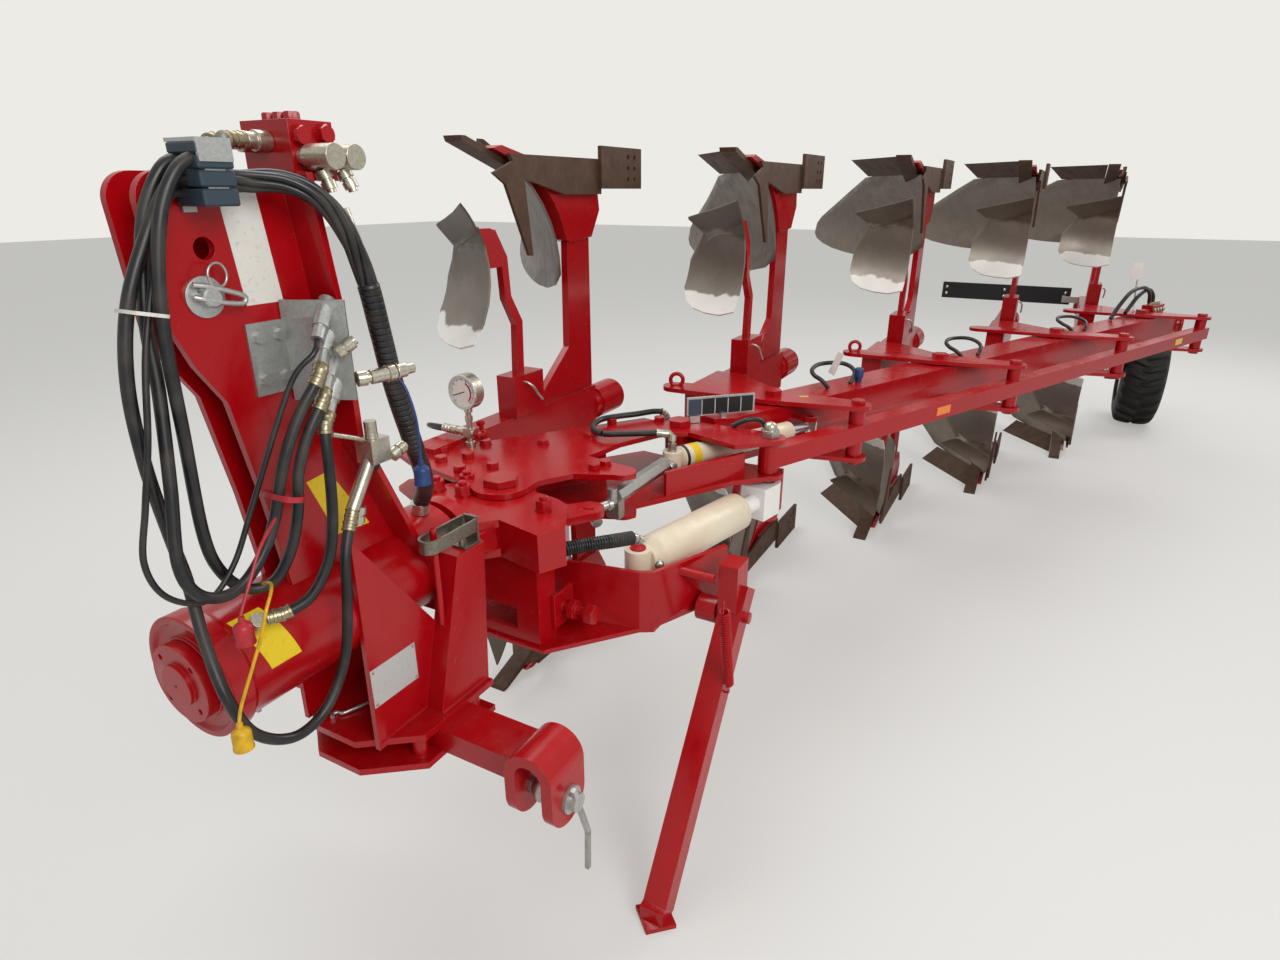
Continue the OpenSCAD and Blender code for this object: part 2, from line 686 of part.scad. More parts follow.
// Steering tube beside the beam, with its pins
module steering_tube() color(red) place() {
  difference() {
    at(swing_pin, axis_h) rotate(-beam_a) union() {
      translate([-steer_side / 2, 0, -steer_side / 2]) cube([steer_side, 3 * body_pitch + nose_gap + 60, steer_side]);
      z_cyl(30, 2 - swing_z, swing_z - 2);
    }
    at(swing_pin, axis_h) z_cyl(20 + run, -100, 100);
  }
  for (i = [1:4]) at(steer_pin(i), axis_h) {
    z_cyl(15, -arm_top - 10, arm_top + 10);
    z_cyl(26, 1 - arm_z, arm_z - 1);
    both() translate([0, 0, arm_top + fit]) hex(40, 14);
  }
}

// Bodies

leg_x = [10, 10 + leg_t];
shin_x = 52;
land_x = 61;
land_t = 12;
frog_x = [-6, 48];

// Form of a board: [length, height, thickness, lead of its edge, X of its shin, radius, slope at its foot,
// angle of its edge to the direction of travel]
main_form = [board_len, board_h, board_t, share_lead, shin_x, board_r, 28, share_a];
skim_form = [300, 385, 6, 0, 70, 252, 45, 62];

// Lower edge of a board, as a share of its height
edge_foot = 0.16;

// Angle of the curve at height z
function tilt(m, z) = acos(cos(m[6]) - z / m[5]);
// How far the curve has gone back at height z
function back(m, z) = m[5] * (sin(tilt(m, z)) - sin(m[6]));
// Angle of the level lines to the direction of travel at height z
function line_a(m, z) = m[7] + 5.5 * (z / m[1] - edge_foot);
// Point of a level line, 0.4 of the length out
function line_p(m, z) = [-0.4 * m[0] * sin(m[7]) + back(m, z) * cos(m[7]),
  m[3] + 0.4 * m[0] * cos(m[7]) + back(m, z) * sin(m[7])];
// Y of the board's front face at X and height z
function face_y(m, x, z) = line_p(m, z)[1] + (line_p(m, z)[0] - x) / tan(line_a(m, z));
// Y of its back face
function rear_y(m, x, z) = face_y(m, x, z) + m[2] / (sin(line_a(m, z)) * sin(tilt(m, z)));
// Point of the front face, s along the level line from the shin
function board_point(m, s, z) = [m[4] - s * sin(line_a(m, z)), face_y(m, m[4], z) + s * cos(line_a(m, z)), z];
function board_back(m, p) = p + m[2] * [
  cos(m[7]) * sin(tilt(m, p[2])), sin(m[7]) * sin(tilt(m, p[2])), -cos(tilt(m, p[2]))];

// Outline of a board: [share of its length, lower and upper edge as shares of its height]
main_edges = [
  [0, edge_foot, 0.84], [0.08, edge_foot, 0.93], [0.22, edge_foot, 0.985], [0.36, edge_foot, 1], [0.5, 0.18, 1], [0.64, 0.29, 0.985],
  [0.77, 0.41, 0.96], [0.88, 0.52, 0.92], [0.96, 0.61, 0.87], [1, 0.69, 0.81]
];
skim_edges = [[0, 0.16, 0.96], [0.2, 0.16, 1], [0.45, 0.16, 1], [0.7, 0.26, 0.98], [0.88, 0.42, 0.93], [1, 0.56, 0.82]];
rows = 6;

module board(m, edges) {
  nr = rows + 1;
  nc = len(edges);
  front = [for (c = edges, j = [0:rows]) board_point(m, c[0] * m[0], m[1] * (c[1] + (c[2] - c[1]) * j / rows))];
  n = len(front);
  grid = [for (i = [0:nc - 2], j = [0:nr - 2]) [i * nr + j, (i + 1) * nr + j, (i + 1) * nr + j + 1, i * nr + j + 1]];
  // border of the front face, as pairs of neighbours
  rim = concat(
    [for (i = [0:nc - 2]) [(i + 1) * nr, i * nr]],
    [for (i = [0:nc - 2]) [i * nr + nr - 1, (i + 1) * nr + nr - 1]],
    [for (j = [0:nr - 2]) [j, j + 1]],
    [for (j = [0:nr - 2]) [(nc - 1) * nr + j + 1, (nc - 1) * nr + j]]
  );
  polyhedron(concat(front, [for (p = front) board_back(m, p)]), concat(
    [for (q = grid) each [[q[0], q[1], q[2]], [q[0], q[2], q[3]]]],
    [for (q = grid) each [[n + q[0], n + q[2], n + q[1]], [n + q[0], n + q[3], n + q[2]]]],
    [for (e = rim) each [[e[0], e[1], n + e[1]], [e[0], n + e[1], n + e[0]]]]
  ), convexity = 4);
}

module boards(i) color(board_grey) place() at(tip(i)) pair() board(main_form, main_edges);

// Plate behind a board: its front edge follows the board's back from z0 to z1
module rib(m, x0, x1, z0, z1, tail) yz_plate(x0, x1)
  polygon(concat([for (k = [0:5]) let(z = z0 + (z1 - z0) * k / 5) [rear_y(m, x0, z) + fit + 0.5, z]], tail));

// Share: flat blade along its edge, bevelled below
foot_z = edge_foot * board_h - fit;
share_w = norm([foot_z, back(main_form, foot_z)]);
share_rise = atan(foot_z / back(main_form, foot_z));
share_t = 12;
point_w = 60;
point_rise = 17;
// Height of the point bar's underside
function point_z(y) = (y - 20) * tan(point_rise);

module share_blade() intersection() {
  translate([0, share_lead, 0]) rotate(90 + share_a) rotate([90, 0, 90]) translate([0, 0, 0]) linear_extrude(share_len)
    polygon([
      [0, 0], [-share_w * cos(share_rise), share_w * sin(share_rise)],
      [-share_w * cos(share_rise) - share_t * sin(share_rise), share_w * sin(share_rise) - share_t * cos(share_rise)],
      [-share_t / sin(share_rise), 0]
    ]);
  translate([-1000, 0, 0]) cube([1000 - point_w / 2 - fit, 2000, 500]);
}

module point_bar() intersection() {
  yz_plate(-point_w / 2, point_w / 2) polygon([[0, 0], [20, 0], [300, point_z(300)], [293, 22 + point_z(300)], [6, 14]]);
  // cut off in front of the board's foot
  translate([52, 190, -10]) rotate(share_a - 90) translate([-300, -400, 0]) cube([600, 400, 300]);
}

module share_set() {
  share_blade();
  point_bar();
  yz_plate(land_x, land_x + land_t) polygon([[150, 40], [640, 40], [640, 149], [420, 149], [190, 100]]);
  // heel plate
  yz_plate(land_x + land_t, land_x + land_t + 14) difference() {
    polygon([[620, 0], [895, 0], [895, 132], [620, 132]]);
    for (y = [800, 845], z = [30, 66, 102]) translate([y, z]) circle(8, $fn = 24);
  }
  // upright knife in front of the shin
  yz_plate(land_x + land_t, land_x + land_t + 10) polygon([[60, 92], [150, 60], [200, 105], [225, 320], [206, 318], [112, 120]]);
}

module shares(i) color(worn) place() at(tip(i)) pair() share_set();

// Leg with the frog that carries the board, share and landside
module leg() {
  yz_plate(leg_x[0], leg_x[1]) polygon([
    [480, 240], [612, 240], [612, axis_h - arm_z - fit], [277, axis_h - arm_z - fit], [300, 770], [470, 640]
  ]);
  rib(main_form, frog_x[0], frog_x[1], 100, 288, [[480, 295], [612, 285], [665, 200], [640, 50], [305, 50]]);
  // foot below the point
  yz_plate(frog_x[0], frog_x[1]) polygon([[110, point_z(110) - fit], [235, point_z(235) - fit], [300, 64], [310, 50], [150, 18]]);
  // landside's bracket
  yz_plate(frog_x[1] - 1, land_x - fit) polygon([[400, 60], [630, 60], [630, 140], [430, 140]]);
}

module legs(i) color(red) place() at(tip(i)) pair() leg();

// Skimmer: clamp below the carrier, bent shank and a small board
skim_foot = 170;
skim_y = -24;
skim_x = [24, 46];

// Share of the skimmer, in front of its board's foot
skim_share = [for (k = [0:7]) k == 3 ? -8.05 : skim_form[k]];
skim_share_edges = [[0, 0, 0.2], [0.35, 0.06, 0.26], [0.68, 0.11, 0.33], [1.02, 0.16, 0.18]];

module skimmer() {
  translate([skim_x[0] - 25, 116, 672]) cube([70, 148, axis_h - arm_z - 672 - fit]);
  yz_plate(skim_x[0], skim_x[1]) polygon([
    [162, 673], [196, 673], [202, 512], [154, 432], [146, 318], [98, 240], [72, 254], [118, 330], [126, 440], [170, 520]
  ]);
  translate([0, skim_y, skim_foot]) {
    rib(skim_form, skim_x[0], skim_x[1], 66, 175, [[150, 175], [125, 75], [100, 66]]);
    color(worn) board(skim_share, skim_share_edges);
    color(board_grey) board(skim_form, skim_edges);
  }
}

module skimmers(i) color(red) place() at(tip(i)) pair() skimmer();

module light_board() color(black) place() at(tip(4)) at_axis() {
  translate([-901, 640, 15]) cube([820, 20, 110]);
  color(zinc) translate([-130, 585, 35]) cube([100 - fit, 6, 40]);
  color(zinc) translate([-130, 590, 35]) cube([20, 50 - fit, 40]);
}

// Wheel on its swinging arm

wheel_r = tyre_d / 2;
wheel_shaft_r = 40;
wheel_pivot = pivot(1) + wheel_back_y * beam_dir;
wheel_at = [wheel_pivot[0] + 37, wheel_pivot[1] + wheel_back, wheel_r];
wheel_arm_x = wheel_at[0] - tyre_w / 2 - 60;

module wheel_arm() color(red) place() {
  at(wheel_pivot, axis_h) x_cyl(wheel_shaft_r, wheel_arm_x - wheel_pivot[0], 72);
  at(wheel_pivot, axis_h) x_cyl(52, 66, 80);
  translate([wheel_arm_x, wheel_pivot[1], axis_h]) x_cyl(54, -30, 30);
  strut([wheel_arm_x, wheel_pivot[1], axis_h], [wheel_arm_x, wheel_at[1], wheel_r]) square([80, 56], center = true);
  translate([wheel_arm_x, wheel_at[1], wheel_r]) x_cyl(44, -30, 30);
  translate(wheel_at) x_cyl(28, wheel_arm_x - wheel_at[0], 16);
}

module wheel_rim() color(white) place() translate(wheel_at) rotate([0, 90, 0]) rotate_extrude($fn = 72) polygon([
  [28 + run, -30], [60, -30], [60, -10], [140, 10], [rim_d / 2 - 22, 10], [rim_d / 2 - 22, -tyre_w / 2 + 40],
  [rim_d / 2, -tyre_w / 2 + 20], [rim_d / 2, tyre_w / 2 - 20], [rim_d / 2 - 22, tyre_w / 2 - 40],
  [rim_d / 2 - 22, 20], [140, 20], [60, 2], [60, 30], [28 + run, 30]
]);

module tyre() color(black) place() translate(wheel_at) rotate([0, 90, 0]) rotate_extrude($fn = 96) polygon([
  [rim_d / 2 + fit, -tyre_w / 2 + 24], [rim_d / 2 + 30, -tyre_w / 2 + 4], [wheel_r - 70, -tyre_w / 2],
  [wheel_r - 22, -tyre_w / 2 + 16], [wheel_r - 4, -tyre_w / 2 + 44], [wheel_r, -40], [wheel_r, 40],
  [wheel_r - 4, tyre_w / 2 - 44], [wheel_r - 22, tyre_w / 2 - 16], [wheel_r - 70, tyre_w / 2],
  [rim_d / 2 + 30, tyre_w / 2 - 4], [rim_d / 2 + fit, tyre_w / 2 - 24]
]);

// Hoses on the headstock: a tube along its route's points, eight-sided

hose_r = 9;
bundle_r = 18;
cable_r = 4.5;

function unit(v) = v / norm(v);
function heading(p, k) = unit(p[min(k + 1, len(p) - 1)] - p[max(k - 1, 0)]);
function ring(p, k, r) = let(d = heading(p, k), u = unit(cross(d, [1, 0, 0])), w = cross(d, u))
  [for (a = [0:45:315]) p[k] + r * (cos(a) * u + sin(a) * w)];

module tube(p, r) color(black) place() {
  last = 8 * (len(p) - 1);
  polyhedron(
    [for (k = [0:len(p) - 1]) each ring(p, k, r)],
    concat(
      [[for (j = [0:7]) j]],
      [for (k = [0:8:last - 1], j = [0:7]) [k + j, k + 8 + j, k + 8 + (j + 1) % 8, k + (j + 1) % 8]],
      [[for (j = [7:-1:0]) last + j]]
    ), convexity = 6);
}

headstock();
hub_housing();
hub_fittings();
cross_bar();
lower_pins();
top_link_pin();
brackets();
turn_valve();
stop_valve();
rotor();
turn_shaft();
rotor_box();
adjuster();
swing_barrel();
swing_rod();
stand();
swing_frame();
swing_pins();
width_scale();
gauge();
feed_block();
width_barrel();
width_rod();
legs(0);  // legs_1
boards(0);  // boards_1
shares(0);  // shares_1
skimmers(0);  // skimmers_1
beam();
rear_valve();
steering_tube();
arms(1);  // arms_2
legs(1);  // legs_2
boards(1);  // boards_2
shares(1);  // shares_2
skimmers(1);  // skimmers_2
arms(2);  // arms_3
legs(2);  // legs_3
boards(2);  // boards_3
shares(2);  // shares_3
skimmers(2);  // skimmers_3
arms(3);  // arms_4
legs(3);  // legs_4
boards(3);  // boards_4
shares(3);  // shares_4
skimmers(3);  // skimmers_4
arms(4);  // arms_5
legs(4);  // legs_5
boards(4);  // boards_5
shares(4);  // shares_5
skimmers(4);  // skimmers_5
light_board();
wheel_arm();
wheel_rim();
tyre();
tube(hose_1, hose_r);
tube(hose_2, hose_r);
tube(hose_3, hose_r);
tube(hose_4, hose_r);
tube(bundle, bundle_r);  // hose_bundle
tube(cable_route, cable_r);  // cable
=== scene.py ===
import json
import math

import bmesh
import bpy
import numpy as np
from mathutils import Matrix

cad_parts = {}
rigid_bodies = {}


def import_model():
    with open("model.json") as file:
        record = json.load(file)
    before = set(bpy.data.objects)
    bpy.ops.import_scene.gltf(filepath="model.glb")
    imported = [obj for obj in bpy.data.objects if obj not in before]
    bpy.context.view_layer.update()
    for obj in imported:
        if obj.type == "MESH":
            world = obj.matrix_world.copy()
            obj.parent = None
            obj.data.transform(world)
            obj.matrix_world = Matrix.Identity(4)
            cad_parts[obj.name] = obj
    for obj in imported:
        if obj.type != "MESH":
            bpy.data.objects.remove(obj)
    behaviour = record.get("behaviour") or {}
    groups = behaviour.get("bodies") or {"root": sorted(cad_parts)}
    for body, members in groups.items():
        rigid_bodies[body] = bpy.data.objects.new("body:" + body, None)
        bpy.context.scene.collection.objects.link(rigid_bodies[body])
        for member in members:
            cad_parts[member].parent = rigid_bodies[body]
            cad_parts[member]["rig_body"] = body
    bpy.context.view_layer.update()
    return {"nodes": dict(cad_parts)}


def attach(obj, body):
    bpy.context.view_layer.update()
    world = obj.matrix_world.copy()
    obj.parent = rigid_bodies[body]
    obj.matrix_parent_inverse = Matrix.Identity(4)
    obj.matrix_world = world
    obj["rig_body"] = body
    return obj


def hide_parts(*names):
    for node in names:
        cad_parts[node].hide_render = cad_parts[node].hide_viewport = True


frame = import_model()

# Camera, lamps and floor
# The camera stands where the photographer stood, 1.63 m up and in front of the headstock's left
# side. The floor is pale and plain, and soft lamps and the world give an even workshop light.

HUB = np.array([444.0, 3175.0, 0.0])
CAMERA_AT = (1140.0, -531.0, 1630.0)
CAMERA_DOWN = 21.13
CAMERA_TURN = 28.51
CAMERA_LENS = 21.15
SENSOR_WIDTH = 36.0
FARTHEST = 60.0
FLOOR_REACH = 30


def placed(points):
    """Places in millimetres from under the hub's front face, as metres in the CAD frame: (p - hub) / 1000."""
    return (np.asarray(points, dtype=float) - HUB) / 1000.0


def linear(code):
    """An sRGB hex code as linear light: each channel c above 0.04 is ((c + 0.055) / 1.055) ** 2.4."""
    channels = [int(code[k:k + 2], 16) / 255.0 for k in (1, 3, 5)]
    return tuple(c / 12.92 if c <= 0.04045 else ((c + 0.055) / 1.055) ** 2.4 for c in channels) + (1.0,)


def add(tree, kind, settings=None, **inputs):
    """Adds a shader node with its settings and inputs, _2 being input 2.

    A colour comes as its hex code, a socket is linked, and a node is linked by its first output in use.
    """
    node = tree.nodes.new("ShaderNode" + kind)
    for name, value in (settings or {}).items():
        setattr(node, name, value)
    for name, value in inputs.items():
        socket = node.inputs[int(name[1:]) if name[1:].isdigit() else name.replace("_", " ")]
        if isinstance(value, str):
            value = linear(value)
        if isinstance(value, bpy.types.Node):
            value = next(output for output in value.outputs if output.enabled)
        if isinstance(value, bpy.types.NodeSocket):
            tree.links.new(value, socket)
        else:
            socket.default_value = value
    return node


def shown(name, data):
    """A new object with this data, linked to the scene."""
    thing = bpy.data.objects.new(name, data)
    bpy.context.scene.collection.objects.link(thing)
    return thing


def lamp(name, at, aim, size, power):
    """A square soft lamp at a place, turned to its aim."""
    light = bpy.data.lights.new(name, "AREA")
    light.size = size
    light.energy = power
    thing = shown(name, light)
    thing.location = placed(at)
    away = thing.location - type(thing.location)(placed(aim))
    thing.rotation_euler = away.to_track_quat("Z", "Y").to_euler()


camera = shown("camera", bpy.data.cameras.new("camera"))
camera.data.lens = CAMERA_LENS
camera.data.sensor_width = SENSOR_WIDTH
camera.data.clip_end = FARTHEST
camera.location = placed(CAMERA_AT)
camera.rotation_euler = (math.radians(90.0 - CAMERA_DOWN), 0.0, math.radians(CAMERA_TURN))
bpy.context.scene.camera = camera
bpy.context.scene.view_settings.view_transform = "Standard"

lamp("window_lamp", (4200.0, -1200.0, 3600.0), (300.0, 1500.0, 700.0), 2.6, 150.0)
lamp("roof_lamp", (-1500.0, 2000.0, 5200.0), (400.0, 2500.0, 700.0), 3.5, 150.0)
lamp("rear_lamp", (2600.0, 7800.0, 4200.0), (800.0, 4000.0, 700.0), 3.0, 110.0)

world = bpy.data.worlds.new("even_light")
world.use_nodes = True
tree = world.node_tree
tree.nodes.clear()
ray = add(tree, "LightPath")
direct = add(tree, "Math", {"operation": "MAXIMUM"}, _0=ray.outputs["Is Camera Ray"],
             _1=ray.outputs["Is Transmission Ray"])
glossy = add(tree, "Math", {"operation": "MULTIPLY"}, _0=ray.outputs["Is Glossy Ray"], _1=0.6)
seen = add(tree, "Math", {"operation": "MAXIMUM"}, _0=direct, _1=glossy)
soft = add(tree, "Background", Color="#f4f5f7", Strength=0.5)
wall = add(tree, "Background", Color="#ecebe6", Strength=1.0)
both = add(tree, "MixShader", _0=seen, _1=soft, _2=wall)
add(tree, "OutputWorld", Surface=both)
bpy.context.scene.world = world


def finish(name):
    """A new material with an empty node tree, the tree, and the object's own coordinates in it."""
    material = bpy.data.materials.new(name)
    material.use_nodes = True
    tree = material.node_tree
    tree.nodes.clear()
    return material, tree, add(tree, "TexCoord").outputs["Object"]


floor_mesh = bpy.data.meshes.new("floor")
corners = [(x * FLOOR_REACH, y * FLOOR_REACH, 0) for x, y in ((-1, -1), (1, -1), (1, 1), (-1, 1))]
floor_mesh.from_pydata(corners, [], [(0, 1, 2, 3)])
floor = shown("floor", floor_mesh)
screed, tree = finish("pale_floor_screed")[:2]
shader = add(tree, "BsdfPrincipled", Base_Color="#dad9d5", Roughness=0.9)
glow = add(tree, "Emission", Color="#e3e2de", Strength=1.0)
eye = add(tree, "LightPath").outputs["Is Camera Ray"]
part = add(tree, "Math", {"operation": "MULTIPLY"}, _0=eye, _1=0.45)
pale = add(tree, "MixShader", _0=part, _1=shader, _2=glow)
add(tree, "OutputMaterial", Surface=pale)
floor_mesh.materials.append(screed)

# Hoses on the headstock
# Two-wire hydraulic hose of synthetic rubber, 18 mm outside, for turning, width and stop valve, a
# thin hose for the memory cylinder, and a bundle in a spiral guard that runs over to the turning shaft.

HOSE_ROUTES = {
    "hose_1": [
        (-25, 284, 1700), (-24, 254, 1699), (-2, 230, 1690), (26, 206, 1680), (52, 184, 1674),
        (57, 156, 1671), (57, 120, 1656), (55, 82, 1590), (60, 54, 1470), (72, 42, 1370), (90, 18, 1240),
        (104, -4, 1130), (108, 12, 1074), (110, 54, 1054), (111, 98, 1074), (113, 142, 1130),
        (119, 178, 1230), (126, 215, 1300), (134, 253, 1351),
        (125, 269, 1368)],
    "hose_2": [
        (10, 284, 1700), (12, 252, 1700), (38, 232, 1696), (72, 206, 1684), (92, 165, 1676), (93, 120, 1656),
        (92, 82, 1590), (91, 58, 1470), (86, 54, 1300), (78, 54, 1150), (76, 68, 1080), (84, 98, 1036),
        (102, 134, 1036), (117, 162, 1080), (124, 182, 1140), (126, 196, 1210), (132, 222, 1270),
        (134, 253, 1311), (125, 269, 1328)],
    "hose_3": [
        (73, 149, 1640), (73, 118, 1638), (73, 76, 1580), (71, 30, 1490), (70, 6, 1390), (70, 2, 1280),
        (60, 16, 1160), (66, 22, 1080), (96, 10, 990), (136, 2, 905), (152, 24, 830), (158, 84, 785),
        (158, 150, 800), (156, 202, 870), (153, 226, 965), (144, 246, 1050), (130, 284, 1112)],
    "hose_4": [
        (125, 269, 1288), (136, 249, 1268), (143, 240, 1200), (143, 230, 1110), (141, 210, 1045),
        (134, 174, 998), (118, 138, 982), (103, 109, 981)],
    "hose_bundle": [
        (76, 182, 1640), (78, 222, 1641), (102, 272, 1640), (126, 310, 1618), (135, 345, 1570),
        (138, 372, 1490), (138, 388, 1400), (134, 408, 1300), (122, 445, 1195), (86, 500, 1100),
        (50, 534, 1046),
        (26, 545, 1012)],
    "cable": [
        (62, 149, 1622), (66, 118, 1620), (72, 84, 1560), (80, 34, 1430), (88, 4, 1310), (84, -18, 1220),
        (80, -36, 1140), (84, -20, 1080), (91, 30, 1050), (93, 80, 1088), (95, 128, 1170), (108, 186, 1290),
        (120, 222, 1360), (134, 253, 1391), (125, 269, 1408)],
}
HOSE_RADIUS = 0.009
OTHER_RADII = {"hose_bundle": 0.018, "cable": 0.0045}
HOSE_STEP = 0.008
HOSE_SIDES = 16
HOSE_CREASE = 60.0
GUARD_SIDES = 24

# The upper part of the bundle is bare: its thin hoses lie open there, above the spiral guard.
BARE_SHARE = 0.36
STRANDS = 6
STRAND_OFFSET = 0.0105
STRAND_RADIUS = 0.0062
STRAND_TURNS = 0.7


def through(points, step):
    """Points about step apart on a smooth line through the given ones: a Catmull-Rom spline of each four."""
    p = np.asarray(points, dtype=float)
    p = np.vstack([2 * p[0] - p[1], p, 2 * p[-1] - p[-2]])
    a, b, c, d = p[:-3], p[1:-2], p[2:-1], p[3:]
    count = np.maximum(2, np.rint(np.linalg.norm(c - b, axis=1) / step)).astype(int)
    k = np.repeat(np.arange(len(count)), count)
    t = ((np.arange(count.sum()) - np.repeat(np.cumsum(count) - count, count)) / count[k])[:, None]
    curve = 0.5 * (2 * b[k] + (c - a)[k] * t + (2 * a - 5 * b + 4 * c - d)[k] * t ** 2
                   + (3 * b - a - 3 * c + d)[k] * t ** 3)
    return np.vstack([curve, p[-2]])


def distances(route):
    """The distance along a route to each of its points: the running sum of its steps."""
    return np.concatenate([[0.0], np.cumsum(np.linalg.norm(np.diff(route, axis=0), axis=1))])


def heading(route):
    """The unit direction of a route at each of its points."""
    ahead = np.gradient(route, axis=0)
    return ahead / np.linalg.norm(ahead, axis=1, keepdims=True)


def square_pair(ahead, across):
    """Two unit directions square to ahead and to each other, the first of them square to across as well."""
    one = np.cross(ahead, across)
    one /= np.linalg.norm(one, axis=-1, keepdims=True)
    return one, np.cross(ahead, one)


def even_angles(count):
    """Angles at even steps once round a circle, in radians."""
    return np.linspace(0.0, 2.0 * np.pi, count, endpoint=False)


def rings_round(centres, ahead, radii, sides, across):
    """Rings square to ahead: centre + radius * (cos a * one + sin a * two) at even angles a."""
    one, two = square_pair(ahead, across)
    turn = even_angles(sides)[:, None]
    reach = np.broadcast_to(radii, len(centres))[:, None, None]
    return centres[:, None] + reach * (np.cos(turn) * one[:, None] + np.sin(turn) * two[:, None])


def round_rings(route, radii, sides, across=(1, 0, 0)):
    """Rings of the given radii at the points of a route."""
    return rings_round(route, heading(route), radii, sides, across)


def skin(rings, closed=False):
    """Surface through rings of equal count: quads between neighbours, caps at both ends unless closed."""
    n, m = rings.shape[:2]
    i, j = np.meshgrid(np.arange(n if closed else n - 1), np.arange(m), indexing="ij")
    corners = [i * m + j, i * m + (j + 1) % m, (i + 1) % n * m + (j + 1) % m, (i + 1) % n * m + j]
    faces = np.stack(corners, axis=-1).reshape(-1, 4).tolist()
    if not closed:
        faces += [list(range(m))[::-1], list(range((n - 1) * m, n * m))]
    return rings.reshape(-1, 3), faces


def smooth(mesh, sharp):
    """Smooth faces, with a crease where two of them meet at more than sharp degrees."""
    mesh.polygons.foreach_set("use_smooth", [True] * len(mesh.polygons))
    mesh.set_sharp_from_angle(angle=math.radians(sharp))


def made(name, surfaces, material, body="headstock", sharp=35.0):
    """A mesh piece of one or more closed surfaces, turned outwards, that rides on a body."""
    points, faces, start = [], [], 0
    for some_points, some_faces in surfaces:
        points.append(some_points)
        faces += [[start + v for v in face] for face in some_faces]
        start += len(some_points)
    mesh = bpy.data.meshes.new(name)
    mesh.from_pydata(np.vstack(points).tolist(), [], faces)
    shell = bmesh.new()
    shell.from_mesh(mesh)
    bmesh.ops.recalc_face_normals(shell, faces=shell.faces)
    shell.to_mesh(mesh)
    shell.free()
    smooth(mesh, sharp)
    mesh.materials.append(material)
    thing = shown(name, mesh)
    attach(thing, body)
    return thing


def route_map(thing, route, sides):
    """Adds a UV map to a tube: u goes once round it, and v is the distance along it in metres."""
    layer = thing.data.uv_layers.new(name="along")
    order = np.empty(len(thing.data.loops), dtype=int)
    thing.data.loops.foreach_get("vertex_index", order)
    ring, spoke = np.minimum(order // sides, len(route) - 1), order % sides
    starts = np.repeat(np.arange(len(thing.data.polygons)), [p.loop_total for p in thing.data.polygons])
    u = np.where((spoke == 0) & (starts % sides == sides - 1), 1.0, spoke / sides)
    layer.data.foreach_set("uv", np.stack([u, distances(route)[ring]], axis=-1).ravel())


RGBA = {"data_type": "RGBA"}


def coated(material, tree, colour, marks, rough, more, height, strength, depth, **others):
    """Ends a material: rough where its marks are faint, rough + more where they are strong, over a bump."""
    dull = add(tree, "MapRange", Value=marks, From_Min=0.3, From_Max=0.8, To_Min=rough, To_Max=rough + more)
    bump = add(tree, "Bump", Height=height, Strength=strength, Distance=depth)
    shader = add(tree, "BsdfPrincipled", Base_Color=colour, Roughness=dull, Normal=bump, **others)
    add(tree, "OutputMaterial", Surface=shader)
    return material


def hose_rubber(name, wrapped):
    """Synthetic rubber cover: black, glossy where hands wipe it, brownish grey in clouds that are partly dust
    and partly a painted sheen, ribbed if it is wrapped.
    """
    material, tree, place = finish(name)
    # Brownish-grey clouds of 60 mm: partly dust, partly a painted sheen.
    dust = add(tree, "TexNoise", Vector=place, Scale=1000.0 / 60.0, Detail=5.0)
    share = add(tree, "MapRange", Value=dust, From_Min=0.45, From_Max=0.85, To_Max=0.55)
    colour = add(tree, "Mix", RGBA, _0=share, _6="#131315", _7="#574d44")
    height = add(tree, "TexNoise", Vector=place, Scale=1000.0 / 3.0, Detail=2.0)
    strength, depth = 0.3, 0.0002
    if wrapped:
        line = add(tree, "SeparateXYZ", Vector=add(tree, "TexCoord").outputs["UV"])
        pitch = add(tree, "Math", {"operation": "MULTIPLY_ADD"}, _0=line.outputs["Y"], _1=1000.0 / 11.0,
                    _2=line.outputs["X"])
        saw = add(tree, "Math", {"operation": "FRACT"}, _0=pitch)
        bulge = add(tree, "Math", {"operation": "PINGPONG"}, _0=saw, _1=0.5)
        height = add(tree, "MapRange", {"interpolation_type": "SMOOTHSTEP"}, Value=bulge, From_Max=0.22)
        strength, depth = 0.9, 0.0022
    return coated(material, tree, colour, dust, 0.26, 0.34, height, strength, depth)


plain_rubber = hose_rubber("synthetic_rubber_hose", False)
spiral_guard = hose_rubber("spiral_wrapped_hose_guard", True)


def strands(route, count, offset, radius, turns):
    """Thin hoses side by side round a route: each keeps its offset and goes round it the given turns."""
    one, two = square_pair(heading(route), (1, 0, 0))
    t = np.linspace(0.0, 1.0, len(route))[:, None]
    tubes = []
    for k in range(count):
        turn = 2.0 * np.pi * (k / count + turns * t)
        line = route + offset * (np.cos(turn) * one + np.sin(turn) * two)
        tubes.append(skin(round_rings(line, radius, 12)))
    return tubes


